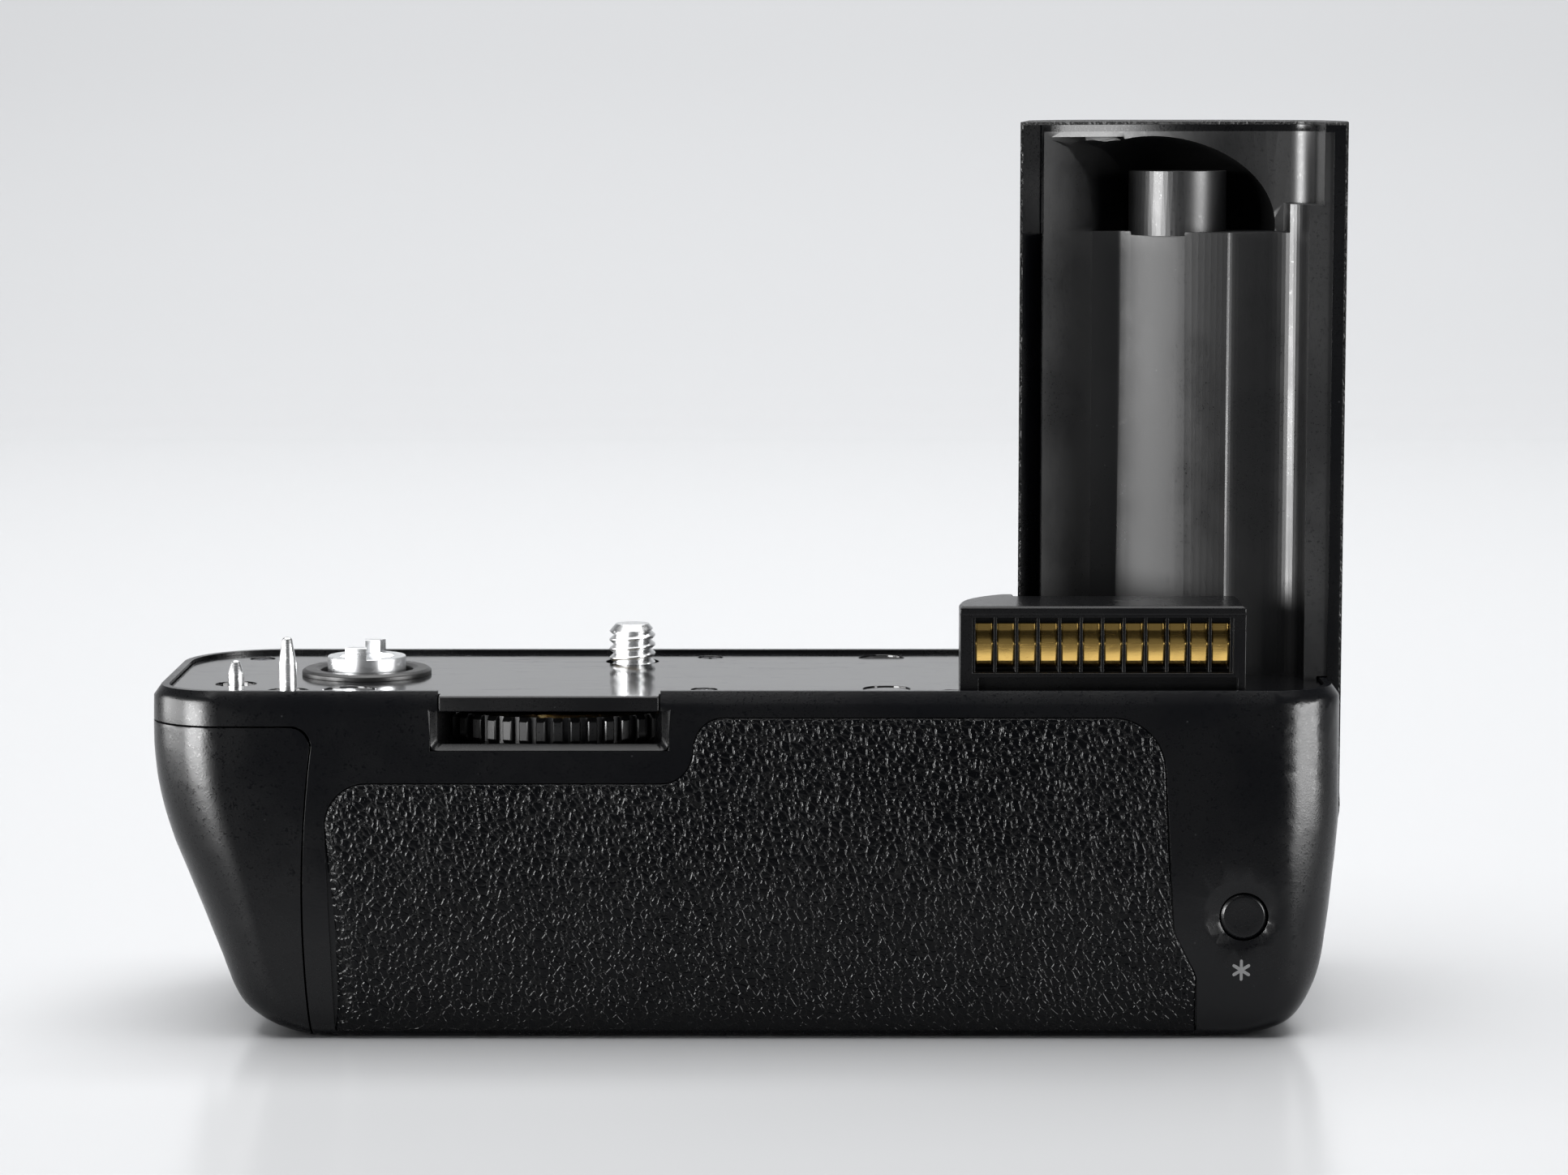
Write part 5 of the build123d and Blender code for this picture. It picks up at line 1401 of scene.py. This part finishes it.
@dataclass(frozen=True)
class ContactBlock:
    """Moulded block with its cover and twelve gold leaves."""

    count: int = 12
    first: float = 47.1
    pitch: float = 2.81
    width: float = 2.25
    # Leaf's section (y, z) from its foot to its top
    leaf: Table = (
        (-28.7, 48.3), (-29.6, 48.6), (-30.1, 49.1), (-30.45, 51.6), (-29.35, 53.1), (-29.2, 54.0),
    )
    sheet: float = 0.22
    # Share of the width and depth below the middle, across a leaf
    across: tuple[float, ...] = (-0.5, -0.47, -0.4, 0.4, 0.47, 0.5)
    sink: tuple[float, ...] = (0.10, 0.04, 0.0, 0.0, 0.04, 0.10)

    def leaves(self, shop: Workshop) -> None:
        """Makes the leaves: one bent section carried across each leaf's width, bowed at its sides.

        The section's points are moved along its own normal by half the sheet's thickness to each
        side, and the sides of the leaf sink by a small rounding.

        Args:
            shop: the workshop.
        """
        line = soften(self.leaf, 0.3, steps=3)
        along = np.gradient(line, axis=0)
        along /= np.linalg.norm(along, axis=1, keepdims=True)
        normal = np.stack([-along[:, 1], along[:, 0]], 1)[:, None]
        rows, columns = len(line), len(self.across)
        points, faces = [], []
        for number in range(self.count):
            x = self.first + self.pitch * number + np.array(self.across) * self.width
            x = np.broadcast_to(x[:, None], (rows, columns, 1))
            faces += sheet_faces(rows, columns, 2 * rows * columns * number)
            for half in (self.sheet / 2, -self.sheet / 2):
                depth = half - np.array(self.sink)[:, None]
                points.append(np.concatenate([x, line[:, None] + normal * depth], -1))
        made = link_mesh("gold_leaves", np.concatenate(points), faces)
        weld(made.data)
        shop.dress(made, "gold", Body.HOUSING, ("contact_springs",), 40.0)

    def build(self, shop: Workshop) -> None:
        """Makes the block, its cover and its leaves.

        Args:
            shop: the workshop.
        """
        shop.refine("contact_block", "block_plastic", Body.HOUSING, 0.09)
        shop.refine("contact_cover", "block_plastic", Body.HOUSING, 0.12)
        self.leaves(shop)


@dataclass(frozen=True)
class RearButton:
    """Round button in its scoop on the rear face."""

    centre: tuple[float, float] = (80.9, 16.3)
    face: float = -36.25
    radius: float = 3.07

    def build(self, shop: Workshop) -> None:
        """Makes the button: a turned form about an axis along y, slightly dished, with a rounded rim.

        Args:
            shop: the workshop.
        """
        # Radius and depth behind the face
        profile = soften([
            (0.0, 0.1), (1.6, 0.05), (self.radius - 0.45, 0.0), (self.radius, 0.35), (self.radius, 2.3),
            (3.87, 2.3), (3.87, 2.9), (1.1, 2.9), (1.1, 3.6), (0.0, 3.6),
        ], 0.12, steps=3)
        depths = self.face + profile[:, 1:]
        made = turned("rear_button", profile[:, :1], depths, round_turn(96), self.centre, (0, 2, 1))
        shop.dress(made, "shell_plastic", Body.STAR, ("star_button",), 50.0)


@dataclass(frozen=True)
class GripTower:
    """Liner of the grip and the leather round its outside."""

    trough_x: float = 84.9
    trough_front: float = -19.0
    trough_r: float = 5.4
    trough_top: float = 108.45
    fullness: tuple[float, float] = (9.0, 3.2)
    # How near to the half round a point lies that belongs to it
    near: float = 0.06

    def fuller(self, points: Array) -> Array:
        """Makes the right trough's half round fuller.

        A point at the share u of the radius from the middle, and sqrt(1 - u^2) of it deep, goes to
        (1 - |u|^n)^(1/n) deep. The power n is larger left of the middle than right of it.

        Args:
            points: the points, in millimetres.

        Returns:
            The moved points.
        """
        x, y, z = points.T
        share = np.clip(np.abs(x - self.trough_x) / self.trough_r, 0.0, 1.0)
        round_depth = np.sqrt(1.0 - share**2)
        power = np.where(x < self.trough_x, *self.fullness)
        full_depth = (1.0 - share**power) ** (1.0 / power)
        on_arc = np.abs(y - self.trough_front - self.trough_r * round_depth) < self.near
        chosen = on_arc & (share < 1.0) & (z < self.trough_top) & (y > self.trough_front - 0.01)
        moved = points.copy()
        moved[:, 1] += np.where(chosen, self.trough_r * (full_depth - round_depth), 0.0)
        return moved

    def build(self, shop: Workshop) -> None:
        """Makes the liner and the leather."""
        shop.refine("grip_liner", "liner_plastic", Body.HOUSING, 0.3, 25.0, self.fuller)
        shop.refine("grip_leather", "grip_leather", Body.HOUSING, 0.15)


@dataclass(frozen=True)
class HiddenWorks:
    """Controls of the far side and everything inside, kept as merged or repainted CAD pieces."""

    # Node, finish, body and width of the rounding
    rounded: tuple[tuple[str, str, Body, float], ...] = (
        ("shutter_button", "control_plastic", Body.RELEASE, 0.15),
        ("control_dial", "control_plastic", Body.DIAL, 0.1),
        ("control_switch", "control_plastic", Body.SWITCH, 0.2),
        ("lock_key", "control_plastic", Body.KEY, 0.2),
        ("base_plate", "base_paint", Body.HOUSING, 0.15),
        ("magazine_frame", "frame_plastic", Body.MAGAZINE, 0.2),
        ("magazine_bulkhead", "frame_plastic", Body.MAGAZINE, 0.2),
        ("battery_cells", "cell_wrap", Body.MAGAZINE, 0.25),
    )
    # Finish of each slot whose name is another
    by_slot: dict[str, str] = field(default_factory=lambda: {
        "base_metal": "base_paint", "gear_white": "gear_plastic", "board_green": "board_mask",
        "cell_metal": "cell_wrap", "contact_gold": "gold",
    })

    def build(self, shop: Workshop) -> None:
        """Makes the rounded pieces and repaints every node that nothing else stands for.

        Args:
            shop: the workshop.
        """
        for node, finish, body, edge in self.rounded:
            shop.refine(node, finish, body, edge)
        for node, slot in shop.slots.items():
            if node not in shop.dressed:
                shop.paint(shop.nodes[node], self.by_slot.get(slot, slot))


# Studio


@dataclass(frozen=True)
class Lamp:
    """Rectangular soft lamp: its middle, the point that it faces, its size and its power in watts."""

    place: tuple[float, float, float]
    aim: tuple[float, float, float]
    size: tuple[float, float]
    power: float
    # Only gloss shows the lamp, as it shows a pale card beside the object
    mirrored: bool = False


@dataclass(frozen=True)
class Studio:
    """Pale sweep, soft lamps and the camera at the photograph's viewing angle."""

    camera_place: tuple[float, float, float] = (20.9, -599.1, 123.7)
    camera_pitch: float = 6.5
    focal_pixels: float = 5400.0
    image_width: float = 1933.0
    sensor_width: float = 36.0
    sweep_colour: Colour = (0.735, 0.742, 0.755)
    sweep_roughness: tuple[float, float] = (0.18, 0.23)
    # The card only paints a dark reflection; no camera view, shadow or diffuse light sees it
    card_colour: Colour = (0.045, 0.045, 0.047)
    card_roughness: tuple[float, float] = (0.8, 0.9)
    # Left x, right x, near y and far y, seen from the object
    card_edges: tuple[float, float, float, float] = (-210.0, 250.0, -150.0, -620.0)
    card_height: float = 0.3
    wall: float = 1450.0
    wall_top: float = 2600.0
    bend: float = 500.0
    floor_end: float = -1800.0
    half_width: float = 2500.0
    room_colour: Colour = (0.95, 0.97, 1.0)
    room_strength: float = 0.12
    lamps: dict[str, Lamp] = field(default_factory=lambda: {
        "left_softbox": Lamp((-600, -530, 130), (-70, 0, 40), (400, 260), 14.0, True),
        "left_panel": Lamp((-640, -40, 110), (0, -20, 100), (460, 220), 4.4, True),
        "right_softbox": Lamp((545, -257, 110), (90, 0, 40), (400, 220), 5.4, True),
        "top_softbox": Lamp((0, 60, 1150), (20, 0, 40), (1300, 1100), 18.0),
        "backdrop_softbox": Lamp((0, 700, 1250), (0, 1200, 100), (2000, 500), 9.5),
    })

    def camera(self) -> None:
        """Makes the camera: sensor width over image width gives the focal length in millimetres."""
        data = bpy.data.cameras.new("camera")
        data.sensor_width = self.sensor_width
        data.lens = self.focal_pixels / self.image_width * data.sensor_width
        data.clip_start, data.clip_end = 0.01, 20.0
        made = link_object("camera", data)
        made.location = Vector(self.camera_place) * MM
        made.rotation_euler = (math.radians(90.0 - self.camera_pitch), 0.0, 0.0)
        bpy.context.scene.camera = made

    def staged(self, name: str, points: Array, surface: Surface, tones: tuple[Colour, Colour],
               fineness: float, roughness: tuple[float, float]) -> bpy.types.Object:
        """Makes a sheet of the studio with faint clouds or fibres in its colour.

        Args:
            name: the object's name.
            points: its points, in rows and columns.
            surface: its material.
            tones: its two colours.
            fineness: scale of the noise between them.
            roughness: the roughness of each.

        Returns:
            The sheet.
        """
        made = link_mesh(name, points, grid_faces(*points.shape[:2]))
        made.data.polygons.foreach_set("use_smooth", np.ones(len(made.data.polygons), bool))
        clouds = surface.graph.noise(surface.place, fineness, 2.0)
        surface.set(Base_Color=surface.graph.blend(clouds, *tones),
                    Roughness=surface.graph.lerp(clouds, *roughness))
        made.data.materials.append(surface.material)
        return made

    def sweep(self, patterns: PatternGroups) -> bpy.types.Object:
        """Makes the floor and backdrop as one sheet.

        Its section is the floor, a quarter circle of radius bend and the wall, carried along X.

        Args:
            patterns: the shared groups.

        Returns:
            The sheet.
        """
        quarter = np.linspace(-math.pi / 2, 0.0, 24)
        section = np.array([(self.floor_end, 0.0), *arc(self.wall - self.bend, self.bend, self.bend, quarter),
                            (self.wall, self.wall_top)])
        across = np.linspace(-self.half_width, self.half_width, 9)
        points = np.array([[(x, y, z) for x in across] for y, z in section])
        tones = (self.sweep_colour, scaled(self.sweep_colour, 0.97))
        paper = Surface("sweep_paper", patterns)
        return self.staged("sweep", points, paper, tones, 2.0, self.sweep_roughness)

    def card(self, patterns: PatternGroups) -> None:
        """Lays a dark card on the floor in front, which only reflections see: a painted dark reflection in
        the object's front faces, casting no shade.

        Its points are (x, y, height) on a plain grid.

        Args:
            patterns: the shared groups.
        """
        left, right, near, far = self.card_edges
        points = np.array([[(x, y, self.card_height) for x in np.linspace(left, right, 5)]
                           for y in np.linspace(far, near, 5)])
        tones = (self.card_colour, scaled(self.card_colour, 1.2))
        dark_reflection = Surface("card_dark_reflection", patterns)
        made = self.staged("dark_card", points, dark_reflection, tones, 900.0, self.card_roughness)
        made.visible_camera = made.visible_shadow = made.visible_diffuse = False

    def hang(self, name: str, lamp: Lamp, spared: bpy.types.Collection) -> None:
        """Hangs a lamp.

        Args:
            name: the lamp's name.
            lamp: its values.
            spared: what a mirrored lamp doesn't light.
        """
        data = bpy.data.lights.new(name, "AREA")
        data.shape = "RECTANGLE"
        data.size, data.size_y = [side * MM for side in lamp.size]
        data.energy = lamp.power
        made = link_object(name, data)
        made.location = Vector(lamp.place) * MM
        made.rotation_euler = (Vector(lamp.aim) - Vector(lamp.place)).to_track_quat("-Z", "Y").to_euler()
        made.visible_camera = False
        made.visible_diffuse = not lamp.mirrored
        if lamp.mirrored:
            made.light_linking.receiver_collection = spared

    def build(self, patterns: PatternGroups) -> None:
        """Makes the whole studio. Mirrored lamps spare the sweep, so no view sees one in the floor.

        Args:
            patterns: the shared groups.
        """
        self.camera()
        spared = bpy.data.collections.new("spared_sweep")
        spared.objects.link(self.sweep(patterns))
        spared.collection_objects[0].light_linking.link_state = "EXCLUDE"
        self.card(patterns)
        for name, lamp in self.lamps.items():
            self.hang(name, lamp, spared)
        room = bpy.data.worlds.new("room")
        bpy.context.scene.world = room
        room.use_nodes = True
        background = room.node_tree.nodes["Background"]
        background.inputs["Color"].default_value = rgba(self.room_colour)
        background.inputs["Strength"].default_value = self.room_strength
        bpy.context.scene.view_settings.view_transform = "Standard"


def main() -> None:
    """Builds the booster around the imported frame."""
    logging.basicConfig(level=logging.INFO, format="%(name)s: %(message)s")
    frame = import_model()
    patterns = PatternGroups()
    shop = Workshop(frame, {name: finish.material(name, patterns) for name, finish in FINISHES.items()})
    for assembly in (Shells, RearLeather, TopPlate, PlateScrews, GuidePins, FilmCoupler, AttachmentScrew,
                     Thumbwheel, WheelWindow, ContactBlock, RearButton, GripTower, HiddenWorks):
        assembly().build(shop)
    Studio().build(patterns)
    bpy.context.view_layer.update()


if __name__ == "__main__":
    main()
